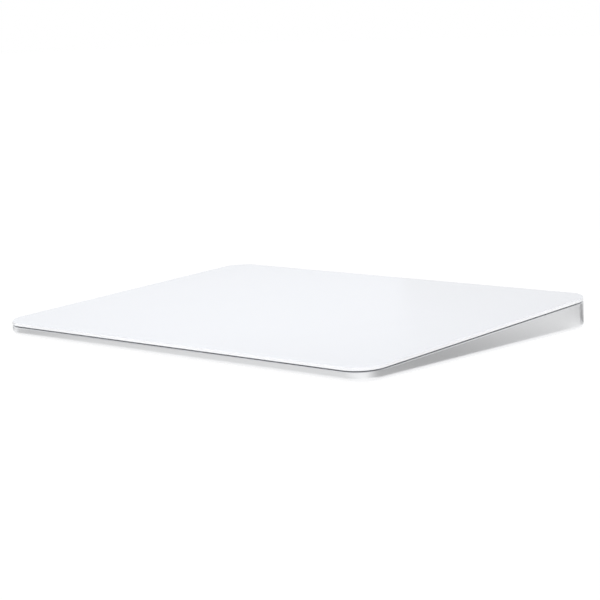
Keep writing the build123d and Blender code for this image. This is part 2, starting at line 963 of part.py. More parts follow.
def socket_shell():
    """The steel shell of the charge socket, open at its mouth."""
    ring = SlotOverall(socket_width, socket_height)
    ring -= SlotOverall(socket_width - 2 * socket_wall, socket_height - 2 * socket_wall)
    return rear_piece(ring, socket_back_y, socket_mouth_y)


def socket_tongue():
    """The plastic base and blade inside the shell."""
    inset = socket_wall + fit_clearance
    base = SlotOverall(socket_width - 2 * inset, socket_height - 2 * inset)
    blade = Rectangle(tongue_width, tongue_height)
    blade_tip = socket_mouth_y - tongue_setback
    return rear_piece(base, socket_back_y, socket_back_y + tongue_base) + rear_piece(
        blade, socket_back_y, blade_tip
    )


def socket_contacts():
    """The two rows of flat contacts on the blade."""
    contacts = []
    far = socket_mouth_y - tongue_setback - contact_pitch
    for row in (-1, 1):
        z = row * (tongue_height + contact_height) / 2
        for number in range(contact_count):
            x = (number - (contact_count - 1) / 2) * contact_pitch
            strip = Pos(x, z) * Rectangle(contact_width, contact_height)
            contacts.append(rear_piece(strip, far - contact_length, far))
    return contacts


def socket_gasket():
    """The soft ring that seals the shell against the inside of the rear wall."""
    ring = SlotOverall(socket_width + 2 * gasket_width, socket_height + 2 * gasket_width)
    ring -= SlotOverall(socket_width + 2 * fit_clearance, socket_height + 2 * fit_clearance)
    return rear_piece(ring, wall_inside_y - gasket_depth, wall_inside_y)


def socket_board():
    """The small board that the socket is soldered to."""
    board = block(
        about(0, socket_board_length),
        (socket_board_front, socket_board_rear),
        (socket_board_bottom, socket_board_top),
    )
    for x, y in socket_screws:
        board -= Pos(x, y) * Cylinder(screw_radius + hole_clearance, rear_height, align=ON_FLOOR)
    return board


def socket_clamp():
    """The sheet steel saddle that holds the socket down on its board."""
    inner = socket_width / 2 + fit_clearance
    outer = inner + clamp_sheet
    foot_end = inner + clamp_ear
    low = -socket_height / 2
    high = socket_height / 2 + fit_clearance
    profile = Polyline(
        (inner, low),
        (foot_end, low),
        (foot_end, low + clamp_sheet),
        (outer, low + clamp_sheet),
        (outer, high + clamp_sheet),
        (-outer, high + clamp_sheet),
        (-outer, low + clamp_sheet),
        (-foot_end, low + clamp_sheet),
        (-foot_end, low),
        (-inner, low),
        (-inner, high),
        (inner, high),
        close=True,
    )
    saddle = rear_piece(make_face(profile), clamp_y - clamp_depth / 2, clamp_y + clamp_depth / 2)
    for x, y in socket_screws:
        saddle -= Pos(x, y) * Cylinder(screw_radius + hole_clearance, rear_height, align=ON_FLOOR)
    return saddle


def socket_clamp_screws():
    """The two screws through the saddle and the board."""
    seat = socket_board_top + clamp_sheet
    length = seat - plate_bottom
    return [Pos(x, y, seat) * pan_screw(length) for x, y in socket_screws]


# Power switch: at rest it is off, with the knob at the left end of its slot

knob_x = switch_x - switch_travel / 2
carrier_rear = wall_inside_y - carrier_gap
carrier_front = carrier_rear - carrier_thickness
carrier_length = knob_length + 2 * (switch_travel + carrier_overlap)
switch_body_rear = carrier_front - body_gap
switch_body_front = switch_body_rear - switch_body_depth
bracket_front = switch_body_front - bracket_sheet
terminal_rise = (rear_opening_height - terminal_height, rear_opening_height)


def power_switch_slider():
    """The moving knob and its carrier behind the wall, with the nub that works the switch."""
    knob = rear_piece(
        Pos(knob_x, 0) * SlotOverall(knob_length, knob_height),
        carrier_front,
        half_depth - knob_setback,
    )
    knob = fillet(knob.faces().sort_by(Axis.Y)[-1].edges(), knob_edge_round)
    carrier = rear_piece(
        Pos(knob_x, 0) * Rectangle(carrier_length, carrier_height), carrier_front, carrier_rear
    )
    nub = rear_piece(
        Pos(knob_x, 0) * Rectangle(nub_length, nub_height),
        carrier_front - body_gap - nub_reach,
        carrier_front,
    )
    return knob + carrier + nub


def power_switch_mark():
    """The green mark on the carrier that the slot shows when the switch is on."""
    x = knob_x - (knob_length + mark_length) / 2 - knob_gap
    return rear_piece(
        Pos(x, 0) * Rectangle(mark_length, mark_height), carrier_rear, carrier_rear + mark_thickness
    )


def power_switch_body():
    """The electrical slide switch, slotted for the nub."""
    body = rear_piece(
        Pos(switch_x, 0) * Rectangle(switch_body_length, switch_body_height),
        switch_body_front,
        switch_body_rear,
    )
    room = nub_length + switch_travel + 2 * knob_gap
    pocket = rear_piece(
        Pos(switch_x, 0) * Rectangle(room, nub_height + 2 * knob_gap),
        switch_body_rear - nub_reach - knob_gap,
        switch_body_rear,
    )
    terminals = block(
        about(switch_x, terminal_length), (bracket_front, switch_body_front), terminal_rise
    )
    return body - pocket + terminals


def bracket_screw_places():
    """The two screws that hold the switch bracket on the rear flange."""
    y = half_depth - flange_middle_inset
    return [(switch_x + side * bracket_ear_pitch / 2, y) for side in (-1, 1)]


def power_switch_bracket():
    """The bent sheet that stands on the flange and carries the switch body."""
    top = rear_opening_height + switch_body_height / 2
    upright = block(
        about(switch_x, switch_body_length),
        (bracket_front, switch_body_front),
        (flange_top, top),
    )
    ear_y = half_depth - flange_middle_inset
    rear_edge = ear_y + bracket_ear_radius / 2
    foot_sheet = block(
        about(switch_x, bracket_ear_pitch + 2 * bracket_ear_radius),
        (bracket_front, rear_edge),
        (flange_top, flange_top + bracket_sheet),
    )
    window = block(
        about(switch_x, terminal_length + 2 * lap_clearance),
        (bracket_front, switch_body_front),
        (terminal_rise[0] - lap_clearance, terminal_rise[1] + lap_clearance),
    )
    bracket = upright - window + foot_sheet
    for x, y in bracket_screw_places():
        bracket -= Pos(x, y) * Cylinder(screw_radius + hole_clearance, rear_height, align=ON_FLOOR)
    return bracket


def bracket_screws():
    """The two screws of the switch bracket."""
    seat = flange_top + bracket_sheet
    length = seat - plate_top
    return [Pos(x, y, seat) * pan_screw(length) for x, y in bracket_screw_places()]


# Rear flex: one flex serves the charge socket and the power switch


def rear_flex():
    """The flex that lies on the base plate from the socket, past the switch, to the logic board."""
    runs = [
        (
            (flex_left, tongue_width / 2),
            (flex_front_edge, flex_rear_edge),
        ),
        (
            (flex_left, flex_left + flex_run_width),
            (flex_tail_y, flex_rear_edge),
        ),
        (
            about(switch_x, socket_flex_width * 2),
            (flex_front_edge, bracket_front),
        ),
    ]
    flex = None
    for x_span, y_span in runs:
        run = block(x_span, y_span, (plate_top, plate_top + flex_thickness))
        flex = run if flex is None else flex + run
    riser = block(
        about(switch_x, socket_flex_width * 2),
        (bracket_front - flex_thickness, bracket_front),
        (plate_top, rear_opening_height),
    )
    return flex + riser


def socket_plug():
    """The connector between the rear flex and the underside of the socket board."""
    return block(
        about(0, tongue_width),
        (flex_front_edge, flex_rear_edge),
        (plate_top + flex_thickness, socket_board_bottom),
    )


def gathered(pieces):
    """Several loose solids as one compound, so that they share a file."""
    return Compound(children=list(pieces))


corner_names = ("front_left", "front_right", "rear_left", "rear_right")
beam_post_count = 2 * len(corner_names)
board_post_count = len(board_screw_places())

nodes = {
    "housing_shell": housing_shell(),
    "base_plate": base_plate(),
    "base_plate_screws": gathered(base_screws()),
    "base_skin": base_skin(),
    "touch_glass": touch_glass(),
    "glass_adhesive": glass_adhesive(),
    "touch_sensor_board": touch_sensor_board(),
    "touch_controller_chips": gathered(touch_controller_chips()),
    "sensor_connector": sensor_connector(),
    "deck_trim": deck_trim(),
    "deck_stiffener": deck_stiffener(),
    "gel_pads": gathered(gel_pads()),
    "strain_gauges": gathered(strain_gauges()),
    "beam_screws": gathered(beam_screws()),
    "beam_posts": gathered(posts(0, beam_post_count)),
    "board_posts": gathered(posts(beam_post_count, beam_post_count + board_post_count)),
    "socket_posts": gathered(posts(beam_post_count + board_post_count, None)),
    "haptic_lid": haptic_lid(),
    "haptic_case": haptic_case(),
    "haptic_coils": gathered(haptic_coils()),
    "haptic_mass": haptic_mass(),
    "haptic_magnets": gathered(haptic_magnets()),
    "haptic_springs": gathered(haptic_springs()),
    "haptic_screws": gathered(haptic_screws()),
    "logic_board": logic_board(),
    "board_shield": board_shield(),
    "board_chips": gathered(board_chips()),
    "board_connectors": gathered(board_connectors()),
    "board_screws": gathered(board_screws()),
    "sensor_flex": sensor_flex(),
    "haptic_flex": haptic_flex(),
    "battery_cell": battery_cell(),
    "battery_board": battery_board(),
    "battery_flex": battery_flex(),
    "battery_tapes": gathered(battery_tapes()),
    "antenna_carrier": antenna_carrier(),
    "antenna_foil": antenna_foil_piece(),
    "antenna_cable": antenna_cable(),
    "socket_shell": socket_shell(),
    "socket_tongue": socket_tongue(),
    "socket_contacts": gathered(socket_contacts()),
    "socket_gasket": socket_gasket(),
    "socket_board": socket_board(),
    "socket_clamp": socket_clamp(),
    "socket_clamp_screws": gathered(socket_clamp_screws()),
    "socket_plug": socket_plug(),
    "rear_flex": rear_flex(),
    "power_switch_slider": power_switch_slider(),
    "power_switch_mark": power_switch_mark(),
    "power_switch_body": power_switch_body(),
    "power_switch_bracket": power_switch_bracket(),
    "power_switch_screws": gathered(bracket_screws()),
}
for name, (x, y) in zip(corner_names, foot_places()):
    nodes["foot_" + name] = foot(x, y)
for name, (x, y) in zip(corner_names, corners(beam_x, beam_middle_y)):
    nodes["force_beam_" + name] = force_beam(x, y)

os.makedirs("parts", exist_ok=True)
for name, shape in nodes.items():
    export_step(shape, os.path.join("parts", name + ".step"))
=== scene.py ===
"""Looks of a wedge trackpad: finishes, fine meshes, light and camera round the fixed frame.

Everything is in metres, in the frame's own axes: X across the width, Y from the front edge to
the rear edge, Z up from the desk. The origin lies on the desk under the middle of the body.
"""

import json
import logging
import math
from dataclasses import dataclass
from enum import Enum
from functools import cache
from typing import Any, Iterable, Optional, Sequence

import bmesh
import bpy
from mathutils import Matrix, Vector


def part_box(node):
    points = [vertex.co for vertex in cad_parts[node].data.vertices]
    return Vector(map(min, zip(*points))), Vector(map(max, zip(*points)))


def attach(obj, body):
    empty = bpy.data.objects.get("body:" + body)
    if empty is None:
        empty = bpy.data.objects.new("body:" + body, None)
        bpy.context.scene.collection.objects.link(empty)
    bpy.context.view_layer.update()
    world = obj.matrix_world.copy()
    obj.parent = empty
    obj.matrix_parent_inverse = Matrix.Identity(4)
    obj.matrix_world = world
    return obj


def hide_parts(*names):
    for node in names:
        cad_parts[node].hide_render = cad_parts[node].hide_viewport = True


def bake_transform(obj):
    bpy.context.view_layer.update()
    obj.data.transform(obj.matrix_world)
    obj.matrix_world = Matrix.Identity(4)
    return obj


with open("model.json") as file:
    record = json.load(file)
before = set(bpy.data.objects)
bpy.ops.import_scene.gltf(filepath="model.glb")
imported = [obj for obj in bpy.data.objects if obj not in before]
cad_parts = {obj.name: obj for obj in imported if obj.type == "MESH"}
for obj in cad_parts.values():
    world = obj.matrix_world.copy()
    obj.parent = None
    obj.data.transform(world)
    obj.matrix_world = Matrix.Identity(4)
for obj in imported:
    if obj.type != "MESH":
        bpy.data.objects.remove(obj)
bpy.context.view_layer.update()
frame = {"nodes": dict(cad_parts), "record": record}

MM = 0.001
WELD = 0.001 * MM
ROOT, DECK, SHAKER, SWITCH = "root", "touch_deck", "haptic_shaker", "power_switch"
Point = tuple[float, float, float]
Point2 = tuple[float, float]
Section = list[Point2]
Colour = tuple[float, float, float]
Thing = bpy.types.Object
Socket = bpy.types.NodeSocket
log = logging.getLogger("trackpad")


# Node trees


class Nodes:
    """A node tree, and the one way in which its nodes are added."""

    def __init__(self, tree: bpy.types.NodeTree) -> None:
        """Wrap a tree."""
        self.tree = tree

    def feed(self, socket: Socket, value: Any) -> None:
        """Link or set one input socket.

        Args:
            socket: The input socket.
            value: A Signal, an output socket or a plain value.
        """
        if isinstance(value, Signal):
            value = value.socket
        if isinstance(value, Socket):
            self.tree.links.new(value, socket)
        else:
            socket.default_value = value

    def node(self, kind: str, inputs: Optional[dict] = None, **settings: Any) -> bpy.types.Node:
        """Add a node.

        Args:
            kind: The node's type.
            inputs: Values, sockets or Signals for its input sockets, by name or number.
            **settings: Its properties, set before its sockets.

        Returns:
            The new node.
        """
        node = self.tree.nodes.new(kind)
        for key, value in settings.items():
            setattr(node, key, value)
        for key, value in (inputs or {}).items():
            self.feed(node.inputs[key], value)
        return node


class Signal:
    """A number that travels through a node tree; arithmetic on it adds Math nodes."""

    def __init__(self, nodes: Nodes, socket: Socket) -> None:
        """Wrap an output socket of a tree."""
        self.nodes = nodes
        self.socket = socket

    def worked(self, operation: str, *operands: Any) -> "Signal":
        """The result of one Math node on numbers, sockets or Signals."""
        node = self.nodes.node("ShaderNodeMath", dict(enumerate(operands)), operation=operation)
        return Signal(self.nodes, node.outputs[0])

    def __add__(self, other: Any) -> "Signal":
        """Sum."""
        return self.worked("ADD", self, other)

    def __radd__(self, other: Any) -> "Signal":
        """Sum, reflected."""
        return self.worked("ADD", other, self)

    def __sub__(self, other: Any) -> "Signal":
        """Difference."""
        return self.worked("SUBTRACT", self, other)

    def __rsub__(self, other: Any) -> "Signal":
        """Difference, reflected."""
        return self.worked("SUBTRACT", other, self)

    def __mul__(self, other: Any) -> "Signal":
        """Product."""
        return self.worked("MULTIPLY", self, other)

    def __rmul__(self, other: Any) -> "Signal":
        """Product, reflected."""
        return self.worked("MULTIPLY", other, self)

    def __abs__(self) -> "Signal":
        """Size without sign."""
        return self.worked("ABSOLUTE", self)

    def above(self, limit: Any) -> "Signal":
        """One where the value is over the limit, and nought elsewhere."""
        return self.worked("GREATER_THAN", self, limit)

    def fraction(self) -> "Signal":
        """The part after the point."""
        return self.worked("FRACT", self)


class ShaderTree(Nodes):
    """A shader tree that starts empty."""

    def __init__(self, tree: bpy.types.NodeTree) -> None:
        """Clear and wrap a tree."""
        super().__init__(tree)
        tree.nodes.clear()

    def background_share(self) -> Signal:
        """One for rays that should meet the plain white background, and nought for the rest."""
        path = self.node("ShaderNodeLightPath").outputs
        return Signal(self, path["Is Camera Ray"]) + Signal(self, path["Is Transmission Ray"])

    def mirrored(self) -> Signal:
        """One for rays that come off a glossy surface."""
        return Signal(self, self.node("ShaderNodeLightPath").outputs["Is Glossy Ray"])

    def ramp(self, value: Signal, low: float, high: float) -> Signal:
        """Stretch a value smoothly over nought to one.

        Args:
            value: The value.
            low: What it is where the result leaves nought.
            high: What it is where the result reaches one.

        Returns:
            The stretched value.
        """
        inputs = {"Value": value, "From Min": low, "From Max": high}
        node = self.node("ShaderNodeMapRange", inputs, interpolation_type="SMOOTHSTEP")
        return Signal(self, node.outputs["Result"])


class Look(ShaderTree):
    """One material round a Principled shader."""

    def __init__(self, name: str) -> None:
        """Start the material.

        Args:
            name: The material's name.
        """
        self.material = bpy.data.materials.new(name)
        self.material.use_nodes = True
        super().__init__(self.material.node_tree)
        self.shader = self.node("ShaderNodeBsdfPrincipled")
        self.output = self.node("ShaderNodeOutputMaterial", {"Surface": self.shader.outputs[0]})

    def set(self, **sockets: Any) -> None:
        """Feed the Principled shader; an underscore in a name stands for a space."""
        for key, value in sockets.items():
            self.feed(self.shader.inputs[key.replace("_", " ")], value)

    def place(self, scale: Sequence[float] = (1, 1, 1)) -> Socket:
        """The point on the piece in metres, stretched by scale along each axis."""
        inputs = {"Vector": self.node("ShaderNodeTexCoord").outputs["Object"], "Scale": scale}
        return self.node("ShaderNodeMapping", inputs).outputs["Vector"]

    def axes(self) -> list[Signal]:
        """The point's three coordinates in metres."""
        split = self.node("ShaderNodeSeparateXYZ", {0: self.place()})
        return [Signal(self, output) for output in split.outputs]

    def flatness(self) -> Signal:
        """One where the surface lies level and nought where it stands upright."""
        normal = self.node("ShaderNodeNewGeometry").outputs["True Normal"]
        return abs(Signal(self, self.node("ShaderNodeSeparateXYZ", {0: normal}).outputs["Z"]))

    def noise(self, size: float, detail: float = 2.0, stretch: Sequence[float] = (1, 1, 1)) -> Signal:
        """Soft random mottle.

        Args:
            size: The width of a mottle in metres.
            detail: How many finer layers it has.
            stretch: How much finer it is along each axis.

        Returns:
            A value about a half.
        """
        inputs = {"Vector": self.place(stretch), "Scale": 1 / size, "Detail": detail}
        return Signal(self, self.node("ShaderNodeTexNoise", inputs).outputs["Fac"])

    def cells(self, size: float) -> Signal:
        """Distance to the nearest of many random pits, each about size metres wide."""
        inputs = {"Vector": self.place(), "Scale": 1 / size}
        return Signal(self, self.node("ShaderNodeTexVoronoi", inputs, feature="F1").outputs["Distance"])

    def blend(self, share: Any, low: Any, high: Any) -> Socket:
        """A colour between two colours.

        Args:
            share: Nought gives low and one gives high.
            low: A colour or a colour socket.
            high: A colour or a colour socket.

        Returns:
            The colour socket.
        """
        node = self.node("ShaderNodeMix", data_type="RGBA")
        for key, value in (("Factor", share), ("A", low), ("B", high)):
            socket = next(s for s in node.inputs if s.name == key and s.enabled)
            self.feed(socket, rgba(value) if isinstance(value, tuple) else value)
        return next(s for s in node.outputs if s.enabled)

    def bump(self, height: Signal, depth: float, strength: float = 1.0) -> None:
        """Emboss the surface.

        Args:
            height: Nought is low and one is high.
            depth: The relief in metres.
            strength: The share of it that shows.
        """
        inputs = {"Height": height, "Distance": depth, "Strength": strength}
        self.feed(self.shader.inputs["Normal"], self.node("ShaderNodeBump", inputs).outputs["Normal"])


def rgba(colour: Colour) -> tuple[float, ...]:
    """A colour with full cover added."""
    return (*colour, 1.0)


WHITE = rgba((1.0, 1.0, 1.0))


# Finishes


# What a noise is on average, and the limits that turn it into soft or crisper mottle.
MEAN = 0.5
SOFT = (0.3, 0.7)
CRISP = (0.35, 0.65)


class Finish:
    """What every finish can do."""

    def paint(self, look: Look) -> None:
        """Lay the finish on a look, which each kind does in its own way.

        Args:
            look: The look that carries the finish.
        """
        raise NotImplementedError

    def material(self, name: str) -> bpy.types.Material:
        """Build the finish.

        Args:
            name: The material's name.

        Returns:
            The material.
        """
        look = Look(name)
        self.paint(look)
        return look.material


def shaded(colour: Colour, share: float) -> Colour:
    """A colour at a share of its strength."""
    return tuple(part * share for part in colour)


@dataclass(frozen=True)
class BlastedAluminium(Finish):
    """Bead-blasted, clear anodised aluminium."""

    colour: Colour = (0.845, 0.85, 0.86)
    shade: Colour = (0.81, 0.815, 0.825)
    roughness: float = 0.36
    grain_gloss: float = 0.12
    drift_gloss: float = 0.03
    bead: float = 0.11 * MM
    bead_depth: float = 0.0035 * MM
    beads_per_grain: float = 2.3
    drift: float = 14 * MM

    def paint(self, look: Look) -> None:
        """Pit the surface with beads, and let its tone drift a little.

        Args:
            look: The look that carries the finish.
        """
        pits = look.ramp(look.cells(self.bead), 0.1, 0.7)
        grain = look.noise(self.bead * self.beads_per_grain, 3.0)
        drift = look.noise(self.drift)
        gloss = self.roughness + (grain - MEAN) * self.grain_gloss
        look.set(
            Base_Color=look.blend(look.ramp(grain * 0.85 + drift * 0.15, *SOFT), self.shade, self.colour),
            Metallic=1.0,
            Roughness=gloss + (drift - MEAN) * self.drift_gloss,
        )
        look.bump(pits * 0.6 + grain * 0.4, self.bead_depth)


@dataclass(frozen=True)
class EtchedGlass(Finish):
    """Glass etched to a satin face, with opaque white ink behind it and a polished edge, whose upright
    faces carry a painted highlight.
    """

    colour: Colour = (0.89, 0.9, 0.935)
    # Painted highlight: the edge colour is brighter than the face and is laid where the surface stands
    # upright.
    edge: Colour = (0.985, 0.985, 0.99)
    lightest: float = 1.008
    roughness: float = 0.32
    etch_gloss: float = 0.08
    index: float = 1.5
    coat: float = 0.8
    coat_drift: float = 0.1
    coat_roughness: float = 0.22
    etch: float = 0.06 * MM
    etch_depth: float = 0.0006 * MM
    drift: float = 30 * MM

    def paint(self, look: Look) -> None:
        """Etch the face, and paint a highlight on what stands upright.

        Args:
            look: The look that carries the finish.
        """
        etch = look.noise(self.etch)
        drift = look.noise(self.drift, 1.0)
        face = look.blend(look.ramp(drift, *CRISP), self.colour, shaded(self.colour, self.lightest))
        look.set(
            # Painted highlight on the upright edge, set by how far the surface turns from level.
            Base_Color=look.blend(look.ramp(1 - look.flatness(), 0.3, 0.9), face, self.edge),
            Roughness=self.roughness + (etch - MEAN) * self.etch_gloss,
            IOR=self.index,
            Coat_Weight=self.coat + (drift - MEAN) * self.coat_drift,
            Coat_Roughness=self.coat_roughness,
        )
        look.bump(etch, self.etch_depth)


@dataclass(frozen=True)
class Moulded(Finish):
    """Moulded plastic or rubber with a fine spark-eroded texture."""

    colour: Colour
    roughness: float = 0.5
    grain: float = 0.18 * MM
    grain_depth: float = 0.006 * MM
    grain_gloss: float = 0.15
    grains_per_drift: float = 60
    contrast: float = 0.06
    coat: float = 0.0

    def paint(self, look: Look) -> None:
        """Grain the surface, and darken it in soft patches.

        Args:
            look: The look that carries the finish.
        """
        grain = look.noise(self.grain, 3.0)
        drift = look.noise(self.grain * self.grains_per_drift)
        dark = shaded(self.colour, 1 - self.contrast)
        look.set(
            Base_Color=look.blend(look.ramp(grain * 0.5 + drift * 0.5, *CRISP), dark, self.colour),
            Roughness=self.roughness + (grain - MEAN) * self.grain_gloss,
            Coat_Weight=self.coat,
        )
        look.bump(grain, self.grain_depth)


class Grain(Enum):
    """The way a metal's fine lines run, as how much finer they are along each axis."""

    ACROSS = (1.0, 12.0, 12.0)
    ALONG = (12.0, 1.0, 12.0)
    NONE = (1.0, 1.0, 1.0)


@dataclass(frozen=True)
class WorkedMetal(Finish):
    """Rolled, drawn, turned or plated metal with fine lines one way."""

    colour: Colour
    roughness: float = 0.3
    line: float = 2.4 * MM
    line_depth: float = 0.001 * MM
    line_gloss: float = 0.12
    grain: Grain = Grain.ACROSS
    stain: float = 0.05
    stain_gloss: float = 0.05
    lines_per_stain: float = 3

    def paint(self, look: Look) -> None:
        """Draw the lines, and stain them a little.

        Args:
            look: The look that carries the finish.
        """
        lines = look.noise(self.line, 3.0, self.grain.value)
        stain = look.noise(self.line * self.lines_per_stain, 3.0)
        dull = shaded(self.colour, 1 - self.stain)
        gloss = self.roughness + (lines - MEAN) * self.line_gloss
        look.set(
            Base_Color=look.blend(look.ramp(lines * 0.5 + stain * 0.5, *SOFT), dull, self.colour),
            Metallic=1.0,
            Roughness=gloss + (stain - MEAN) * self.stain_gloss,
        )
        look.bump(lines, self.line_depth)


@dataclass(frozen=True)
class CircuitBoard(Finish):
    """Solder mask over etched copper tracks."""

    mask: Colour
    track: Colour
    pitch: float = 0.9 * MM
    wander: float = 6 * MM
    wander_share: float = 0.2
    field: float = 9 * MM
    gap: float = 4 * MM
    gap_share: float = 0.44
    lane_share: float = 0.62
    roughness: float = 0.28
    track_gloss: float = 0.08
    coat: float = 0.4
    relief: float = 0.02 * MM

    def paint(self, look: Look) -> None:
        """Lay tracks that run along in some fields, across in others, and stop at gaps.

        Args:
            look: The look that carries the finish.
        """
        along, across, _ = look.axes()
        wander = look.noise(self.wander, 1.0)
        swap = look.noise(self.field, 0.0).above(MEAN)
        chosen = along * swap + across * (1 - swap)
        lanes = ((chosen + wander * self.pitch * self.wander_share) * (1 / self.pitch)).fraction()
        tracks = lanes.above(self.lane_share) * look.noise(self.gap, 0.0).above(self.gap_share)
        look.set(
            Base_Color=look.blend(tracks, self.mask, self.track),
            Roughness=self.roughness + tracks * self.track_gloss,
            Coat_Weight=self.coat,
        )
        look.bump(tracks, self.relief, 0.6)


@dataclass(frozen=True)
class FlexFilm(Finish):
    """Polyimide film over copper conductors that run along it."""

    film: Colour = (0.56, 0.25, 0.05)
    copper: Colour = (0.72, 0.36, 0.12)
    pitch: float = 0.5 * MM
    cloud: float = 3 * MM
    cloud_share: float = 0.4
    roughness: float = 0.22
    cloud_gloss: float = 0.12
    coat: float = 0.5
    relief: float = 0.01 * MM

    def paint(self, look: Look) -> None:
        """Show the conductors through slightly cloudy film.

        Args:
            look: The look that carries the finish.
        """
        along, across, _ = look.axes()
        lanes = ((along + across) * (1 / self.pitch)).fraction().above(0.5)
        cloud = look.noise(self.cloud)
        shown = lanes * (1 - self.cloud_share + cloud * self.cloud_share)
        look.set(
            Base_Color=look.blend(shown, self.film, self.copper),
            Roughness=self.roughness + cloud * self.cloud_gloss,
            Coat_Weight=self.coat,
        )
        look.bump(lanes, self.relief)


@dataclass(frozen=True)
class PouchFoil(Finish):
    """Laminated foil of a pouch cell, slightly crumpled."""

    colour: Colour = (0.62, 0.63, 0.64)
    dullest: float = 0.93
    crumple: float = 7 * MM
    fine: float = 0.4 * MM
    metal: float = 0.85
    roughness: float = 0.34
    fine_gloss: float = 0.12
    relief: float = 0.06 * MM

    def paint(self, look: Look) -> None:
        """Crumple the foil.

        Args:
            look: The look that carries the finish.
        """
        crumple = look.noise(self.crumple, 4.0)
        fine = look.noise(self.fine)
        dull = shaded(self.colour, self.dullest)
        look.set(
            Base_Color=look.blend(look.ramp(crumple, *SOFT), dull, self.colour),
            Metallic=self.metal,
            Roughness=self.roughness + (fine - MEAN) * self.fine_gloss,
        )
        look.bump(crumple * 0.8 + fine * 0.2, self.relief, 0.5)


FINISHES = {
    "aluminium_silver": BlastedAluminium(),
    "glass_white": EtchedGlass(),
    "polycarbonate_white": Moulded((0.80, 0.81, 0.82), 0.42, grain=0.25 * MM),
    "rubber_grey": Moulded((0.66, 0.66, 0.67), 0.7, grain=0.12 * MM, grain_depth=0.01 * MM),
    "plate_aluminium": WorkedMetal((0.74, 0.75, 0.77), 0.36),
    "stainless_steel": WorkedMetal((0.60, 0.60, 0.59), 0.26),
    "spring_steel": WorkedMetal((0.52, 0.52, 0.53), 0.22, grain=Grain.ALONG),
    "screw_steel": WorkedMetal((0.46, 0.46, 0.47), 0.28, line=0.5 * MM, grain=Grain.NONE),
    "post_brass": WorkedMetal((0.78, 0.60, 0.30), 0.24, line=0.4 * MM, grain=Grain.NONE),
    "board_green": CircuitBoard((0.012, 0.075, 0.035), (0.03, 0.16, 0.07)),
    "board_black": CircuitBoard((0.012, 0.013, 0.015), (0.035, 0.036, 0.04)),
    "chip_black": Moulded((0.022, 0.022, 0.024), 0.45, grain=0.08 * MM),
    "connector_ivory": Moulded((0.68, 0.64, 0.52), 0.45, grain=0.1 * MM),
    "adhesive_clear": Moulded((0.72, 0.70, 0.62), 0.3, grain=0.6 * MM),
    "tape_black": Moulded((0.03, 0.03, 0.032), 0.8, grain=0.2 * MM, grain_depth=0.02 * MM),
    # Deck frame dark grey: partly its own colour, partly painted shade set for the dark line in the reveal.
    "trim_black": Moulded((0.1, 0.1, 0.103), 0.6),
    "gel_clear": Moulded((0.74, 0.77, 0.75), 0.15, grain=0.8 * MM, coat=0.4),
    "gauge_film": FlexFilm((0.50, 0.27, 0.08), (0.75, 0.62, 0.40), 0.12 * MM),
    "flex_amber": FlexFilm(),
    "copper_wire": WorkedMetal((0.72, 0.30, 0.13), 0.3, line=0.8 * MM, grain=Grain.NONE),
    "copper_foil": WorkedMetal((0.82, 0.45, 0.27), 0.22, grain=Grain.ALONG),
    "tungsten_grey": WorkedMetal((0.30, 0.30, 0.31), 0.5, line=0.3 * MM, grain=Grain.NONE),
    "magnet_nickel": WorkedMetal((0.64, 0.63, 0.60), 0.14, line=1.2 * MM, grain=Grain.NONE),
    "battery_pouch": PouchFoil(),
    "carrier_plastic": Moulded((0.05, 0.05, 0.055), 0.5),
    "cable_black": Moulded((0.03, 0.03, 0.03), 0.5),
    "socket_steel": WorkedMetal((0.56, 0.56, 0.57), 0.3, line=1.0 * MM, grain=Grain.ALONG),
    "tongue_black": Moulded((0.02, 0.02, 0.022), 0.5, grain=0.08 * MM),
    "contact_gold": WorkedMetal((0.92, 0.68, 0.28), 0.2, line=0.3 * MM, grain=Grain.ALONG),
    "gasket_black": Moulded((0.025, 0.025, 0.025), 0.75),
    "switch_white": Moulded((0.74, 0.75, 0.76), 0.4, grain=0.12 * MM),
    "mark_green": Moulded((0.10, 0.50, 0.12), 0.35, grain=0.1 * MM),
}


@cache
def material_of(slot: str) -> bpy.types.Material:
    """The material of a slot, built when it is first asked for."""
    return FINISHES[slot].material(slot)


# Shared sizes


@dataclass(frozen=True)
class Wedge:
    """The sizes that the whole body follows."""

    width: float = 160 * MM
    depth: float = 114.9 * MM
    front: float = 4.9 * MM
    rear: float = 10.9 * MM
    corner: float = 8.6 * MM
    lift: float = 0.6 * MM
    glass: float = 1.2 * MM
    reveal: float = 0.3 * MM
    deck_drop: float = 2.3 * MM
    lid_sheet: float = 0.4 * MM
    wall: float = 2.0 * MM
    flange: float = 3.0 * MM
    flange_low: float = 1.8 * MM
    flange_high: float = 2.5 * MM
    rear_opening: float = 5.3 * MM

    @property
    def slope(self) -> float:
        """Rise of the glass for each metre of depth."""
        return (self.rear - self.front) / self.depth

    def height(self, y: float, drop: float) -> float:
        """Height above the desk of the plane that lies drop below the glass face, at depth y."""
        return (self.front + self.rear) / 2 + self.slope * y - drop

    def on_deck(self, place: Point, drop: float) -> Vector:
        """A place on the tilted deck's own axes, whose origin lies drop below the glass face."""
        turn = Matrix.Rotation(math.atan(self.slope), 3, "X")
        return Vector((0, 0, self.height(0, drop))) + turn @ Vector(place)


WEDGE = Wedge()


# Mesh helpers


def new_object(name: str, data: bpy.types.ID) -> Thing:
    """Put a mesh, curve, light or camera in the scene as an object at the origin.

    Args:
        name: The object's name.
        data: What it shows.

    Returns:
        The new object.
    """
    thing = bpy.data.objects.new(name, data)
    bpy.context.scene.collection.objects.link(thing)
    return thing


def from_bmesh(name: str, bm: bmesh.types.BMesh, recalculate: bool = True) -> Thing:
    """Turn a bmesh into an object.

    Args:
        name: The object's name.
        bm: The bmesh, which is freed.
        recalculate: Whether all faces are turned outwards first.

    Returns:
        The new object.
    """
    if recalculate:
        bmesh.ops.recalc_face_normals(bm, faces=bm.faces)
    mesh = bpy.data.meshes.new(name)
    bm.to_mesh(mesh)
    bm.free()
    return new_object(name, mesh)


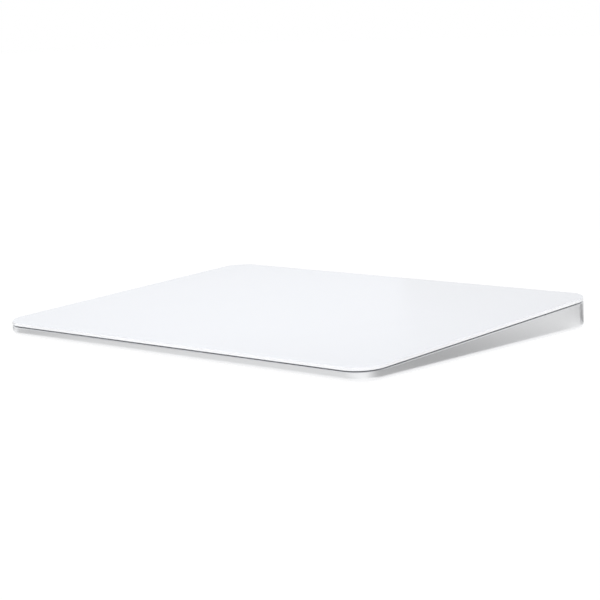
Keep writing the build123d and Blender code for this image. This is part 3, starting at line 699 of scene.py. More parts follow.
def lofted(name: str, *stacks: Sequence[Iterable[Point]], closed: bool = False) -> Thing:
    """Skin one or more stacks of rings as one object.

    Args:
        name: The object's name.
        *stacks: Stacks of rings; all rings of a stack have as many points.
        closed: Whether each last ring joins the first; otherwise both ends are capped.

    Returns:
        The new object.
    """
    bm = bmesh.new()
    for rings in stacks:
        loops = [[bm.verts.new(point) for point in ring] for ring in rings]
        for first, second in zip(loops, loops[1:] + loops[:1] if closed else loops[1:]):
            for i, vert in enumerate(first):
                j = (i + 1) % len(first)
                bm.faces.new((vert, first[j], second[j], second[i]))
        if not closed:
            bm.faces.new(loops[0])
            bm.faces.new(loops[-1])
    return from_bmesh(name, bm)


def quarter(radius: float, steps: int) -> Section:
    """Points of a quarter turn about nought, from (radius, 0) to (0, radius)."""
    turns = [step / steps * math.pi / 2 for step in range(steps + 1)]
    return [(radius * math.cos(turn), radius * math.sin(turn)) for turn in turns]


def circle(radius: float, level: float, turns: Iterable[float]) -> list[Point]:
    """A level ring about the Z axis, with a point at each turn in radians."""
    return [(radius * math.cos(turn), radius * math.sin(turn), level) for turn in turns]


def slot_outline(width: float, height: float, steps: int = 20) -> Section:
    """A round-ended slot about the origin, anticlockwise.

    Args:
        width: Its whole width.
        height: Its height, which its ends are rounded by.
        steps: How many pieces each end has.

    Returns:
        The points.
    """
    radius = height / 2
    reach = width / 2 - radius
    points = []
    for side, start in ((1, -1), (-1, 1)):
        for step in range(steps + 1):
            turn = (start + 2 * step / steps) * math.pi / 2
            points.append((side * reach + radius * math.cos(turn), radius * math.sin(turn)))
    return points


def smooth(thing: Thing, angle: float = 40) -> Thing:
    """Shade a mesh smooth.

    Args:
        thing: The object.
        angle: The angle in degrees past which an edge stays sharp.

    Returns:
        The same object.
    """
    mesh = thing.data
    mesh.polygons.foreach_set("use_smooth", [True] * len(mesh.polygons))
    mesh.set_sharp_from_angle(angle=math.radians(angle))
    return thing


def baked(thing: Thing) -> Thing:
    """Turn an object's modifiers into plain mesh.

    Args:
        thing: The object.

    Returns:
        The same object.
    """
    graph = bpy.context.evaluated_depsgraph_get()
    mesh = bpy.data.meshes.new_from_object(thing.evaluated_get(graph))
    thing.modifiers.clear()
    thing.data = mesh
    return thing


def joined(name: str, things: Sequence[Thing]) -> Thing:
    """Merge the meshes of several objects into one.

    Args:
        name: The new object's name.
        things: The objects, which are removed.

    Returns:
        The new object.
    """
    bm = bmesh.new()
    for thing in things:
        bm.from_mesh(thing.data)
        bpy.data.objects.remove(thing)
    return from_bmesh(name, bm, recalculate=False)


def carve(thing: Thing, cutters: Sequence[Thing]) -> None:
    """Cut pieces out of another.

    Args:
        thing: The piece that is cut.
        cutters: The pieces that cut it, which are removed.
    """
    for cutter in cutters:
        modifier = thing.modifiers.new("cut", "BOOLEAN")
        modifier.operation = "DIFFERENCE"
        modifier.solver = "EXACT"
        modifier.object = cutter
        baked(thing)
        bpy.data.objects.remove(cutter)


def fill_ends(thing: Thing) -> Thing:
    """Close the open rims of a band with flat faces and turn all faces outwards.

    Args:
        thing: The band.

    Returns:
        The same object.
    """
    bm = bmesh.new()
    bm.from_mesh(thing.data)
    rims = [edge for edge in bm.edges if edge.is_boundary]
    if rims:
        bmesh.ops.holes_fill(bm, edges=rims, sides=0)
    bmesh.ops.recalc_face_normals(bm, faces=bm.faces)
    bm.to_mesh(thing.data)
    bm.free()
    return thing


def node_bmesh(node: str, axis: int = 0, side: int = 0) -> bmesh.types.BMesh:
    """Copy a node's mesh, or its solids on one side of the middle, and merge doubled points.

    Args:
        node: The node's name.
        axis: The axis whose sign tells the two sides apart.
        side: One or minus one for the solids on that side, or zero for all.

    Returns:
        The copy.
    """
    bm = bmesh.new()
    bm.from_mesh(frame["nodes"][node].data)
    others = [vert for vert in bm.verts if vert.co[axis] * side < 0]
    bmesh.ops.delete(bm, geom=others, context="VERTS")
    bmesh.ops.remove_doubles(bm, verts=bm.verts, dist=WELD)
    return bm


def solid_boxes(node: str) -> list[tuple[Vector, Vector]]:
    """Measure each loose solid of a node.

    Args:
        node: The node's name.

    Returns:
        The low and high corners of each solid's box, in order of x and then y.
    """
    bm = node_bmesh(node)
    left = set(bm.verts)
    boxes = []
    while left:
        front = [left.pop()]
        found = list(front)
        while front:
            vert = front.pop()
            for edge in vert.link_edges:
                other = edge.other_vert(vert)
                if other in left:
                    left.remove(other)
                    front.append(other)
                    found.append(other)
        low = Vector(min(v.co[axis] for v in found) for axis in range(3))
        high = Vector(max(v.co[axis] for v in found) for axis in range(3))
        boxes.append((low, high))
    bm.free()
    return sorted(boxes, key=lambda box: (round(box[0].x, 5), round(box[0].y, 5)))


def solid_centres(node: str) -> list[Point2]:
    """The middle in plan of each loose solid of a node, in order of x and then y."""
    return [(low.x / 2 + high.x / 2, low.y / 2 + high.y / 2) for low, high in solid_boxes(node)]


def dress(thing: Thing, slot: str, *nodes: str) -> None:
    """Give a finished piece its finish, and let it stand for its nodes.

    Args:
        thing: The piece, at the origin.
        slot: The record's material slot.
        *nodes: The nodes that it stands for.
    """
    thing.data.materials.clear()
    thing.data.materials.append(material_of(slot))
    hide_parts(*nodes)


def hand_over(thing: Thing, body: str, slot: str, *nodes: str) -> None:
    """Give a finished piece its finish and its place in the frame.

    Args:
        thing: The piece, at the origin.
        body: The body that it rides on.
        slot: The record's material slot.
        *nodes: The nodes that it stands for.
    """
    dress(thing, slot, *nodes)
    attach(thing, body)
    log.info("%s: %d faces on %s", thing.name, len(thing.data.polygons), body)


# Geometry Nodes


class NodeForm(Nodes):
    """A Geometry Nodes tree built in code, with named inputs."""

    def __init__(self, name: str) -> None:
        """Start a tree with geometry in and out.

        Args:
            name: The tree's name.
        """
        super().__init__(bpy.data.node_groups.new(name, "GeometryNodeTree"))
        for way in ("INPUT", "OUTPUT"):
            self.tree.interface.new_socket("Geometry", in_out=way, socket_type="NodeSocketGeometry")
        self.inputs = self.tree.nodes.new("NodeGroupInput")
        self.values: dict[str, Any] = {}

    def named(self, name: str, kind: str, value: Any) -> Socket:
        """Add a named input.

        Args:
            name: The input's name.
            kind: Its type, such as Float, Int, Vector, Object or Material.
            value: What this use of the tree gives it.

        Returns:
            The socket inside the tree.
        """
        item = self.tree.interface.new_socket(name, in_out="INPUT", socket_type="NodeSocket" + kind)
        self.values[item.identifier] = value
        return next(s for s in self.inputs.outputs if s.identifier == item.identifier)

    def shape_of(self, socket: Socket, as_instance: bool = False) -> Socket:
        """The geometry of the object that a socket carries."""
        info = self.node("GeometryNodeObjectInfo", {"Object": socket, "As Instance": as_instance})
        return info.outputs["Geometry"]

    def build(self, name: str, result: Socket, slot: str) -> Thing:
        """End the tree, run it and keep its plain mesh.

        Args:
            name: The object's name.
            result: The socket that carries the finished geometry.
            slot: The slot of the material that it gets.

        Returns:
            The object, with no modifier left.
        """
        coat = self.named("Finish", "Material", material_of(slot))
        real = self.node("GeometryNodeRealizeInstances", {"Geometry": result})
        coated = self.node("GeometryNodeSetMaterial", {"Geometry": real.outputs[0], "Material": coat})
        self.node("NodeGroupOutput", {0: coated.outputs[0]})
        thing = new_object(name, bpy.data.meshes.new(name))
        modifier = thing.modifiers.new("form", "NODES")
        modifier.node_group = self.tree
        for identifier, value in self.values.items():
            modifier[identifier] = value
        return baked(thing)


@dataclass(frozen=True)
class Track:
    """A rounded rectangle, seen from above, that a section is swept round."""

    width: float = WEDGE.width
    depth: float = WEDGE.depth
    corner: float = WEDGE.corner
    slope: float = WEDGE.slope
    corner_steps: int = 28


def swept_band(name: str, section: Section, closed: bool, slot: str,
               raise_above: float = 0.0, track: Track = Track()) -> Thing:
    """Sweep a section round a track, and lift what is high to follow the glass.

    Args:
        name: The object's name.
        section: Points as (inset from the track, height at its front edge).
        closed: Whether the section is a closed line.
        slot: The slot of its material.
        raise_above: What lies over this height rises with the depth, and the rest stays level.
        track: The track, which is the body's outline if none is given.

    Returns:
        The swept piece.
    """
    curve = bpy.data.curves.new(name + "_section", "CURVE")
    curve.dimensions = "3D"
    spline = curve.splines.new("POLY")
    spline.points.add(len(section) - 1)
    for point, (inset, height) in zip(spline.points, section):
        point.co = (-inset, -height, 0, 1)
    spline.use_cyclic_u = closed
    helper = new_object(name + "_section", curve)
    form = NodeForm(name + "_sweep")
    width = form.named("Width", "Float", track.width)
    depth = form.named("Depth", "Float", track.depth)
    corner = form.named("Corner Radius", "Float", track.corner)
    steps = form.named("Corner Steps", "Int", track.corner_steps)
    drawn = form.named("Section", "Object", helper)
    slope = form.named("Slope", "Float", track.slope)
    level = form.named("Raise Above", "Float", raise_above)
    front = form.named("Front Edge", "Float", track.depth / 2)
    path = form.node("GeometryNodeCurvePrimitiveQuadrilateral", {"Width": width, "Height": depth})
    inputs = {"Curve": path.outputs[0], "Count": steps, "Radius": corner}
    rounded = form.node("GeometryNodeFilletCurve", inputs, mode="POLY")
    upright = form.node("GeometryNodeSetCurveNormal", {"Curve": rounded.outputs[0]}, mode="Z_UP")
    inputs = {"Curve": upright.outputs[0], "Profile Curve": form.shape_of(drawn)}
    sweep = form.node("GeometryNodeCurveToMesh", inputs)
    position = form.node("GeometryNodeInputPosition")
    split = form.node("ShaderNodeSeparateXYZ", {0: position.outputs[0]})
    rise = (Signal(form, split.outputs["Y"]) + front) * slope
    offset = form.node("ShaderNodeCombineXYZ", {"Z": rise})
    high = Signal(form, split.outputs["Z"]).above(level)
    inputs = {"Geometry": sweep.outputs[0], "Selection": high, "Offset": offset.outputs[0]}
    thing = form.build(name, form.node("GeometryNodeSetPosition", inputs).outputs[0], slot)
    bpy.data.objects.remove(helper)
    return thing


def scattered(name: str, template: Thing, places: Sequence[Point], slot: str,
              tilt: float = 0.0, seed: int = 0) -> Thing:
    """Repeat a template at several places, each turned at random about its own axis.

    Args:
        name: The object's name.
        template: The piece to repeat, at the origin; it is removed.
        places: Where the copies stand.
        slot: The slot of their material.
        tilt: Turn of every copy about X, in radians.
        seed: The seed of the random turns.

    Returns:
        One object with all the copies.
    """
    marks = bpy.data.meshes.new(name + "_places")
    marks.from_pydata([tuple(place) for place in places], [], [])
    holder = new_object(name + "_places", marks)
    form = NodeForm(name + "_repeat")
    stamp = form.named("Template", "Object", template)
    points = form.named("Places", "Object", holder)
    lean = form.named("Tilt", "Float", tilt)
    roll_seed = form.named("Seed", "Int", seed)
    full_turn = form.named("Largest Turn", "Float", 2 * math.pi)
    roll = form.node("FunctionNodeRandomValue", {3: full_turn, "Seed": roll_seed}, data_type="FLOAT")
    turn = form.node("ShaderNodeCombineXYZ", {"X": lean})
    inputs = {
        "Points": form.shape_of(points),
        "Instance": form.shape_of(stamp, True),
        "Rotation": turn.outputs[0],
    }
    stood = form.node("GeometryNodeInstanceOnPoints", inputs)
    spin = form.node("ShaderNodeCombineXYZ", {"Z": roll.outputs[1]})
    inputs = {"Instances": stood.outputs[0], "Rotation": spin.outputs[0]}
    thing = form.build(name, form.node("GeometryNodeRotateInstances", inputs).outputs[0], slot)
    bpy.data.objects.remove(holder)
    bpy.data.objects.remove(template)
    return thing


# Sub-assemblies


@dataclass
class GlassDeck:
    """The glass plate and the dark frame under its edge."""

    top_round: float = 0.3 * MM
    low_chamfer: float = 0.1 * MM
    support: float = 0.05 * MM
    trim_inset: float = 2.3 * MM
    trim_width: float = 1.0 * MM
    trim_height: float = 1.0 * MM
    trim_round: float = 0.15 * MM

    def glass(self) -> None:
        """The plate itself, swept round the outline and closed above and below."""
        top, low = WEDGE.front, WEDGE.front - WEDGE.glass
        radius, chamfer, support = self.top_round, self.low_chamfer, self.support
        section = [(chamfer + support, low), (chamfer, low), (0, low + chamfer)]
        section += [(0, low + chamfer + support), (0, top - radius - support)]
        section += [(radius - across, top - radius + up) for across, up in quarter(radius, 8)]
        section.append((radius + support, top))
        plate = fill_ends(swept_band("touch_plate", section, False, "glass_white"))
        hand_over(smooth(plate), DECK, "glass_white", "touch_glass")

    def trim(self) -> None:
        """The moulded frame under the glass edge; its dark grey is partly painted shade, set so that the
        reveal shows a dark line.
        """
        top = WEDGE.front - WEDGE.glass
        low = top - self.trim_height
        near, far, radius = self.trim_inset, self.trim_inset + self.trim_width, self.trim_round
        section = [(near, top), (near, low + radius)]
        section += [(near + radius - a, low + radius - u) for a, u in quarter(radius, 4)][1:]
        section += [(far, low), (far, top)]
        ring = fill_ends(swept_band("deck_trim_frame", section, True, "trim_black"))
        hand_over(smooth(ring), DECK, "trim_black", "deck_trim")

    def build(self) -> None:
        """Make both pieces."""
        self.glass()
        self.trim()


class Head(Enum):
    """The two kinds of screw head."""

    PAN = "pan"
    FLAT = "flat"


@dataclass(frozen=True)
class ScrewSizes:
    """The small machine screws that hold everything."""

    shank: float = 0.6 * MM
    hole: float = 0.62 * MM
    pan_head: float = 1.25 * MM
    pan_height: float = 0.45 * MM
    flat_head: float = 1.3 * MM
    flat_height: float = 0.5 * MM
    head_round: float = 0.15 * MM
    pitch: float = 0.3 * MM
    thread_depth: float = 0.07 * MM
    tip: float = 0.12 * MM
    rings_per_turn: int = 4
    drive_length: float = 1.5 * MM
    drive_width: float = 0.35 * MM
    drive_depth: float = 0.22 * MM
    drive_taper: float = 0.72


SCREW = ScrewSizes()


@dataclass
class WedgeHousing:
    """The one-piece aluminium wall with its flange, socket opening and switch slot."""

    bottom_round: float = 1.4 * MM
    rim_round: float = 0.3 * MM
    edge_break: float = 0.08 * MM
    support: float = 0.05 * MM
    socket_size: Point2 = (9.44 * MM, 3.66 * MM)
    slot_size: Point2 = (8.4 * MM, 2.6 * MM)
    slot_x: float = -42 * MM
    mouth_chamfer: float = 0.15 * MM
    overrun: float = 1.0 * MM
    hole_sides: int = 24

    def section(self) -> Section:
        """The wall's closed section at the front edge.

        Returns:
            Points as (inset from the outline, height).
        """
        rim = WEDGE.front - WEDGE.glass - WEDGE.reveal
        wall, foot, tip = WEDGE.wall, WEDGE.lift, self.edge_break
        big, small, support = self.bottom_round, self.rim_round, self.support
        points = [(wall - tip, foot), (big + support, foot)]
        points += [(big - a, foot + big - u) for u, a in quarter(big, 10)]
        points += [(0, foot + big + support), (0, rim - small - support)]
        points += [(small - a, rim - small + u) for a, u in quarter(small, 5)]
        points += [(small + support, rim), (wall - tip, rim), (wall, rim - tip)]
        points += [(wall, WEDGE.flange_high), (wall + WEDGE.flange, WEDGE.flange_high)]
        points += [(wall + WEDGE.flange, WEDGE.flange_low), (wall, WEDGE.flange_low), (wall, foot + tip)]
        return points

    def mouth_cutter(self, name: str, size: Point2, x: float) -> Thing:
        """A round-ended plug that cuts an opening with a chamfered mouth through the rear wall.

        Args:
            name: The cutter's name.
            size: The opening's width and height.
            x: Where it lies across the width.

        Returns:
            The cutter.
        """
        chamfer, overrun = self.mouth_chamfer, self.overrun
        rings = []
        for offset, flare in ((-WEDGE.wall - overrun, 0.0), (-chamfer, 0.0), (overrun, chamfer + overrun)):
            outline = slot_outline(size[0] + 2 * flare, size[1] + 2 * flare)
            y = WEDGE.depth / 2 + offset
            rings.append([(x + a, y, WEDGE.rear_opening + u) for a, u in outline])
        return lofted(name, rings)

    def screw_cutter(self) -> Thing:
        """One cutter for every screw hole in the flange.

        Returns:
            The cutter.
        """
        holes = bmesh.new()
        for x, y in solid_centres("base_plate_screws") + solid_centres("power_switch_screws"):
            bmesh.ops.create_cone(
                holes, cap_ends=True, segments=self.hole_sides, radius1=SCREW.hole, radius2=SCREW.hole,
                depth=WEDGE.flange_high,
                matrix=Matrix.Translation((x, y, (WEDGE.flange_low + WEDGE.flange_high) / 2)),
            )
        return from_bmesh("flange_holes_cutter", holes)

    def build(self) -> None:
        """Make the wall, and open it for the socket, the switch and the screws."""
        level = WEDGE.flange_high + self.edge_break
        wall = fill_ends(swept_band("wedge_wall", self.section(), True, "aluminium_silver", level))
        socket = self.mouth_cutter("socket_cutter", self.socket_size, 0)
        slot = self.mouth_cutter("slot_cutter", self.slot_size, self.slot_x)
        carve(wall, (socket, slot, self.screw_cutter()))
        hand_over(smooth(wall, 35), ROOT, "aluminium_silver", "housing_shell")


@dataclass
class Fasteners:
    """Every row of small screws, each with its thread and a crossed recess."""

    lid_screw_x: float = 21.6 * MM
    lid_screw_y: float = 6.6 * MM
    lid_screw_length: float = 0.9 * MM
    least: float = 1e-6

    def turns(self) -> list[float]:
        """Turns of a ring's points, which take in the corners of the crossed recess.

        Returns:
            The turns in radians.
        """
        eighth = math.pi / 4
        corner = math.atan2(SCREW.drive_width, SCREW.drive_length)
        middle = (corner + eighth) / 2
        quarter_ring = [0, corner, middle, eighth, 2 * eighth - middle, 2 * eighth - corner]
        return [turn + 2 * eighth * side for side in range(4) for turn in quarter_ring]

    def ring(self, radius: float, level: float) -> list[Point]:
        """A round ring."""
        return circle(radius, level, self.turns())

    def cross(self, share: float, level: float) -> list[Point]:
        """The outline of the recess.

        Args:
            share: The share of its size that it is drawn in to.
            level: Its height.

        Returns:
            The ring.
        """
        far, near = share * SCREW.drive_length / 2, share * SCREW.drive_width / 2
        points = []
        for turn in self.turns():
            x, y = max(abs(math.cos(turn)), self.least), max(abs(math.sin(turn)), self.least)
            reach = max(min(far / x, near / y), min(near / x, far / y))
            points += circle(reach, level, [turn])
        return points

    def thread(self, top: float, length: float) -> list[list[Point]]:
        """Rings of a right-handed thread.

        Args:
            top: The level that it starts at.
            length: How far down it runs.

        Returns:
            The rings, from the top downwards.
        """
        count = max(1, round(length / SCREW.pitch * SCREW.rings_per_turn))
        rings = []
        for step in range(count + 1):
            level = top - length * step / count
            ring = []
            for turn in self.turns():
                phase = (level / SCREW.pitch - turn / (2 * math.pi)) % 1
                ring += circle(SCREW.shank - SCREW.thread_depth * abs(2 * phase - 1), level, [turn])
            rings.append(ring)
        return rings

    def template(self, head: Head, length: float) -> Thing:
        """One screw that points down, with its seat, or its flat face, at level zero.

        Args:
            head: The kind of head.
            length: The reach below level zero.

        Returns:
            The screw.
        """
        face = SCREW.pan_height if head is Head.PAN else 0
        rings = [self.cross(SCREW.drive_taper, face - SCREW.drive_depth), self.cross(1, face)]
        if head is Head.PAN:
            soft = SCREW.head_round
            middle = SCREW.pan_head - soft
            arc = reversed(quarter(soft, 4))
            rings += [self.ring(middle + along, face - soft + up) for along, up in arc]
            rings += [self.ring(SCREW.pan_head, 0), self.ring(SCREW.shank, 0)]
            start = -SCREW.tip
        else:
            rings += [self.ring(SCREW.flat_head, 0), self.ring(SCREW.shank, -SCREW.flat_height)]
            start = -SCREW.flat_height - SCREW.tip
        rings += self.thread(start, start + length - SCREW.tip)
        rings.append(self.ring(SCREW.shank - SCREW.tip, -length))
        return smooth(lofted("screw_template", rings))

    def row(self, node: str, body: str, head: Head, seats: dict[float, list[Point]],
            tilt: float = 0.0) -> None:
        """Make the screws of one node.

        Args:
            node: The node that they stand for.
            body: The body that they ride on.
            head: Their head.
            seats: The places of their seats, by the length below the seat.
            tilt: Their turn about X.
        """
        groups = [
            scattered(f"{node}_{seed}", self.template(head, length), places, "screw_steel", tilt, seed)
            for seed, (length, places) in enumerate(seats.items(), 1)
        ]
        screws = joined(node.replace("_screws", "_fasteners"), groups)
        hand_over(smooth(screws), body, "screw_steel", node)

    def upright(self, node: str) -> dict[float, list[Point]]:
        """Find the seats of a node's pan head screws, which stand upright.

        Args:
            node: The node's name.

        Returns:
            The places of the seats, by the length below the seat.
        """
        seats: dict[float, list[Point]] = {}
        for low, high in solid_boxes(node):
            seat = high.z - SCREW.pan_height
            length = round(seat - low.z, 6)
            seats.setdefault(length, []).append(((low.x + high.x) / 2, (low.y + high.y) / 2, seat))
        return seats

    def hung(self) -> list[Point]:
        """Find the seats of the screws that hang the actuator's lid from the tilted deck.

        Returns:
            The places of the seats.
        """
        x, y = self.lid_screw_x, self.lid_screw_y
        corners = [(side_x * x, side_y * y, -WEDGE.lid_sheet) for side_x in (-1, 1) for side_y in (-1, 1)]
        return [tuple(WEDGE.on_deck(corner, WEDGE.deck_drop)) for corner in corners]

    def build(self) -> None:
        """Make the screws of every node."""
        for node in ("beam_screws", "board_screws", "socket_clamp_screws", "power_switch_screws"):
            self.row(node, ROOT, Head.PAN, self.upright(node))
        low, high = solid_boxes("base_plate_screws")[0]
        places = [(x, y, low.z) for x, y in solid_centres("base_plate_screws")]
        self.row("base_plate_screws", ROOT, Head.FLAT, {high.z - low.z: places}, math.pi)
        tilt = math.pi + math.atan(WEDGE.slope)
        self.row("haptic_screws", DECK, Head.PAN, {self.lid_screw_length: self.hung()}, tilt)


@dataclass
class WoundCoils:
    """The two flat coils under the actuator's lid, with every turn of their wire."""

    length: float = 12.0 * MM
    width: float = 14.0 * MM
    pitch: float = 12.5 * MM
    corner: float = 4.0 * MM
    wire: float = 0.25 * MM
    turns: int = 12
    layers: int = 2
    spread: float = math.radians(40)
    corner_steps: int = 8

    def section(self) -> Section:
        """The outline of the wires that lie side by side and on each other.

        Returns:
            Points as (inset from the track, height).
        """
        middle = [(number + 0.5) * self.wire for number in range(max(self.turns, self.layers))]
        across, up = middle[:self.turns], middle[:self.layers]
        sides = (
            (-math.pi / 2, [(x, up[0]) for x in across]),
            (0, [(across[-1], z) for z in up]),
            (math.pi / 2, [(x, up[-1]) for x in reversed(across)]),
            (math.pi, [(across[0], z) for z in reversed(up)]),
        )
        radius = self.wire / 2
        points = []
        for outward, centres in sides:
            for x, z in centres:
                for side in (-1, 0, 1):
                    turn = outward + side * self.spread
                    points.append((x + radius * math.cos(turn), z + radius * math.sin(turn)))
        return points

    def build(self) -> None:
        """Wind both coils and hang them under the lid."""
        track = Track(self.length, self.width, self.corner, 0, self.corner_steps)
        bottom = -WEDGE.lid_sheet - self.layers * self.wire
        coils = []
        for side in (-1, 1):
            coil = fill_ends(swept_band(f"coil_{side}", self.section(), True, "copper_wire", 0, track))
            for vert in coil.data.vertices:
                place = vert.co + Vector((side * self.pitch / 2, 0, bottom))
                vert.co = WEDGE.on_deck(place, WEDGE.deck_drop)
            coils.append(coil)
        hand_over(smooth(joined("wound_coils", coils), 60), DECK, "copper_wire", "haptic_coils")


class SoftLinks:
    """The pieces that bend or squash between two bodies: leaf springs, gel pads and deck flexes."""

    def link(self, name: str, slot: str, node: str, ends: Sequence[tuple[str, Optional[Point]]],
             axis: int = 0, side: int = 0) -> None:
        """Copy a node, or its solids on one side of the middle, and give it its finish.

        Args:
            name: The piece's name.
            slot: The record's material slot.
            node: The node that it stands for.
            ends: The body and the place of each end; without places, the piece's own foot and top.
            axis: The axis whose sign tells the two sides apart.
            side: One or minus one for the solids on that side, or zero for all.
        """
        piece = smooth(from_bmesh(name, node_bmesh(node, axis, side)))
        dress(piece, slot, node)
        (first, start), (second, end) = ends
        if start is None:
            levels = [vert.co.z for vert in piece.data.vertices]
            start, end = (0, 0, min(levels)), (0, 0, max(levels))
        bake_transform(piece)
        log.info("%s: %d faces from %s to %s", name, len(piece.data.polygons), first, second)

    def build(self) -> None:
        """Copy the springs between the case and the moving mass, the gel pads between the force beams and
        the deck, and the flexes between the deck and the board.
        """
        inner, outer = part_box("haptic_mass")[1].x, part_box("haptic_springs")[1].x
        for name, side in (("shaker_spring_right", 1), ("shaker_spring_left", -1)):
            ends = ((DECK, (side * outer, 0, 0)), (SHAKER, (side * inner, 0, 0)))
            self.link(name, "spring_steel", "haptic_springs", ends, 0, side)
        for name, side in (("gel_row_rear", 1), ("gel_row_front", -1)):
            self.link(name, "gel_clear", "gel_pads", ((ROOT, None), (DECK, None)), 1, side)
        low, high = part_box("sensor_flex")
        ends = ((ROOT, (0, high.y, 0)), (DECK, (0, low.y, 0)))
        self.link("sensor_ribbon", "flex_amber", "sensor_flex", ends)
        low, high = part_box("haptic_flex")
        ends = ((ROOT, (low.x, 0, 0)), (DECK, (high.x, 0, 0)))
        self.link("actuator_ribbon", "flex_amber", "haptic_flex", ends)


@dataclass
class Underside:
    """The four rubber feet."""

    foot_round: float = 0.3 * MM
    dish: float = 0.12 * MM
    dish_inset: float = 1.6 * MM
    sides: int = 96

    def foot_template(self, radius: float, height: float) -> Thing:
        """One foot with a rounded lower edge and a shallow dish in its sole.

        Args:
            radius: The foot's radius.
            height: Its height.

        Returns:
            The foot.
        """
        soft, floor = self.foot_round, radius - self.dish_inset
        profile = [(floor, self.dish), (floor + self.dish, 0)]
        profile += [(radius - soft + across, soft - up) for up, across in quarter(soft, 8)]
        profile.append((radius, height))
        turns = [2 * math.pi * side / self.sides for side in range(self.sides)]
        return smooth(lofted("foot_template", [circle(reach, level, turns) for reach, level in profile]))

    def build(self) -> None:
        """Make the feet where the frame has them."""
        names = [node for node in frame["nodes"] if node.startswith("foot_")]
        boxes = [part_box(node) for node in sorted(names)]
        low, high = boxes[0]
        template = self.foot_template((high.x - low.x) / 2, high.z - low.z)
        places = [((a.x + b.x) / 2, (a.y + b.y) / 2, 0) for a, b in boxes]
        feet = scattered("rubber_feet", template, places, "rubber_grey", seed=3)
        hand_over(smooth(feet), ROOT, "rubber_grey", *names)


@dataclass
class ChargeSocket:
    """The steel shell, the blade inside it and its two rows of contacts."""

    width: float = 8.94 * MM
    height: float = 3.16 * MM
    sheet: float = 0.3 * MM
    lip: float = 0.1 * MM
    plug_gap: float = 0.02 * MM
    plug_depth: float = 1.6 * MM
    blade_width: float = 6.69 * MM
    blade_half: float = 0.35 * MM
    blade_root: float = 0.5 * MM
    blade_tip: float = 0.25 * MM
    contact_corner: float = 0.5
    contact_shoulder: float = 0.4

    def ring(self, inset: float, y: float) -> list[Point]:
        """A round-ended ring at depth y, which lies inset from the shell's outside."""
        outline = slot_outline(self.width - 2 * inset, self.height - 2 * inset, 24)
        return [(x, y, WEDGE.rear_opening + z) for x, z in outline]

    def shell(self) -> None:
        """The drawn shell with a rounded mouth and an open back."""
        back, mouth = (corner.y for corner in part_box("socket_shell"))
        soft = self.lip
        rings = [self.ring(0, back), self.ring(0, mouth - soft)]
        rings += [self.ring(soft - a, mouth - soft + u) for a, u in quarter(soft, 5)[1:]]
        rings += [self.ring(self.sheet - soft + a, mouth - soft + u) for u, a in quarter(soft, 5)[1:]]
        rings += [self.ring(self.sheet, mouth - soft), self.ring(self.sheet, back)]
        sleeve = smooth(lofted("socket_sleeve", rings, closed=True), 50)
        hand_over(sleeve, ROOT, "socket_steel", "socket_shell")

    def tongue(self) -> None:
        """The moulded base plug and the blade with a tapered tip."""
        back, mouth = (corner.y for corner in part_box("socket_tongue"))
        inset = self.sheet + self.plug_gap
        plug = [self.ring(inset, back), self.ring(inset, back + self.plug_depth)]
        tip, middle = self.blade_tip, WEDGE.rear_opening
        rings = []
        for y, trim_x, trim_z in (
            (back + self.blade_root, 0, 0), (mouth - tip, 0, 0),
            (mouth - tip / 3, tip / 2, tip / 4), (mouth, tip, tip / 2),
        ):
            x, z = self.blade_width / 2 - trim_x, self.blade_half - trim_z
            rings.append([(x, y, middle - z), (x, y, middle + z), (-x, y, middle + z), (-x, y, middle - z)])
        blade = smooth(lofted("socket_blade", plug, rings), 30)
        hand_over(blade, ROOT, "tongue_black", "socket_tongue")

    def contact_template(self, half: Vector) -> Thing:
        """One flat contact with softened ends.

        Args:
            half: Half its size along each axis.

        Returns:
            The contact, about the origin.
        """
        soft = half.x * self.contact_corner
        rings = []
        for level, inset in ((-half.z, 0), (half.z * self.contact_shoulder, 0), (half.z, soft / 2)):
            x, y = half.x - inset, half.y - inset
            corners = [(x - soft, -y), (x, -y + soft), (x, y - soft), (x - soft, y)]
            corners += [(-x + soft, y), (-x, y - soft), (-x, -y + soft), (-x + soft, -y)]
            rings.append([(*corner, level) for corner in corners])
        return lofted("contact_template", rings)

    def contacts(self) -> None:
        """The contacts, repeated along both faces of the blade."""
        boxes = solid_boxes("socket_contacts")
        low, high = boxes[0]
        xs = sorted({round((a.x + b.x) / 2, 6) for a, b in boxes})
        levels = sorted({round((a.z + b.z) / 2, 6) for a, b in boxes})
        template = self.contact_template((high - low) / 2)
        form = NodeForm("contact_rows")
        stamp = form.named("Contact", "Object", template)
        count = form.named("Count", "Int", len(boxes) // 2)
        first = form.named("First Place", "Vector", (xs[0], (low.y + high.y) / 2, levels[-1]))
        step = form.named("Pitch", "Vector", (xs[1] - xs[0], 0, 0))
        inputs = {"Count": count, "Start Location": first, "Offset": step}
        line = form.node("GeometryNodeMeshLine", inputs, mode="OFFSET")
        inputs = {"Points": line.outputs[0], "Instance": form.shape_of(stamp, True)}
        upper = form.node("GeometryNodeInstanceOnPoints", inputs)
        real = form.node("GeometryNodeRealizeInstances", {"Geometry": upper.outputs[0]})
        down = (0, 0, 2 * WEDGE.rear_opening)
        inputs = {"Geometry": real.outputs[0], "Rotation": (0, math.pi, 0), "Translation": down}
        lower = form.node("GeometryNodeTransform", inputs)
        both = form.node("GeometryNodeJoinGeometry")
        for half in (real, lower):
            form.tree.links.new(half.outputs[0], both.inputs[0])
        rows = form.build("socket_contact_rows", both.outputs[0], "contact_gold")
        bpy.data.objects.remove(template)
        hand_over(smooth(rows, 30), ROOT, "contact_gold", "socket_contacts")

    def build(self) -> None:
        """Make the three pieces."""
        self.shell()
        self.tongue()
        self.contacts()


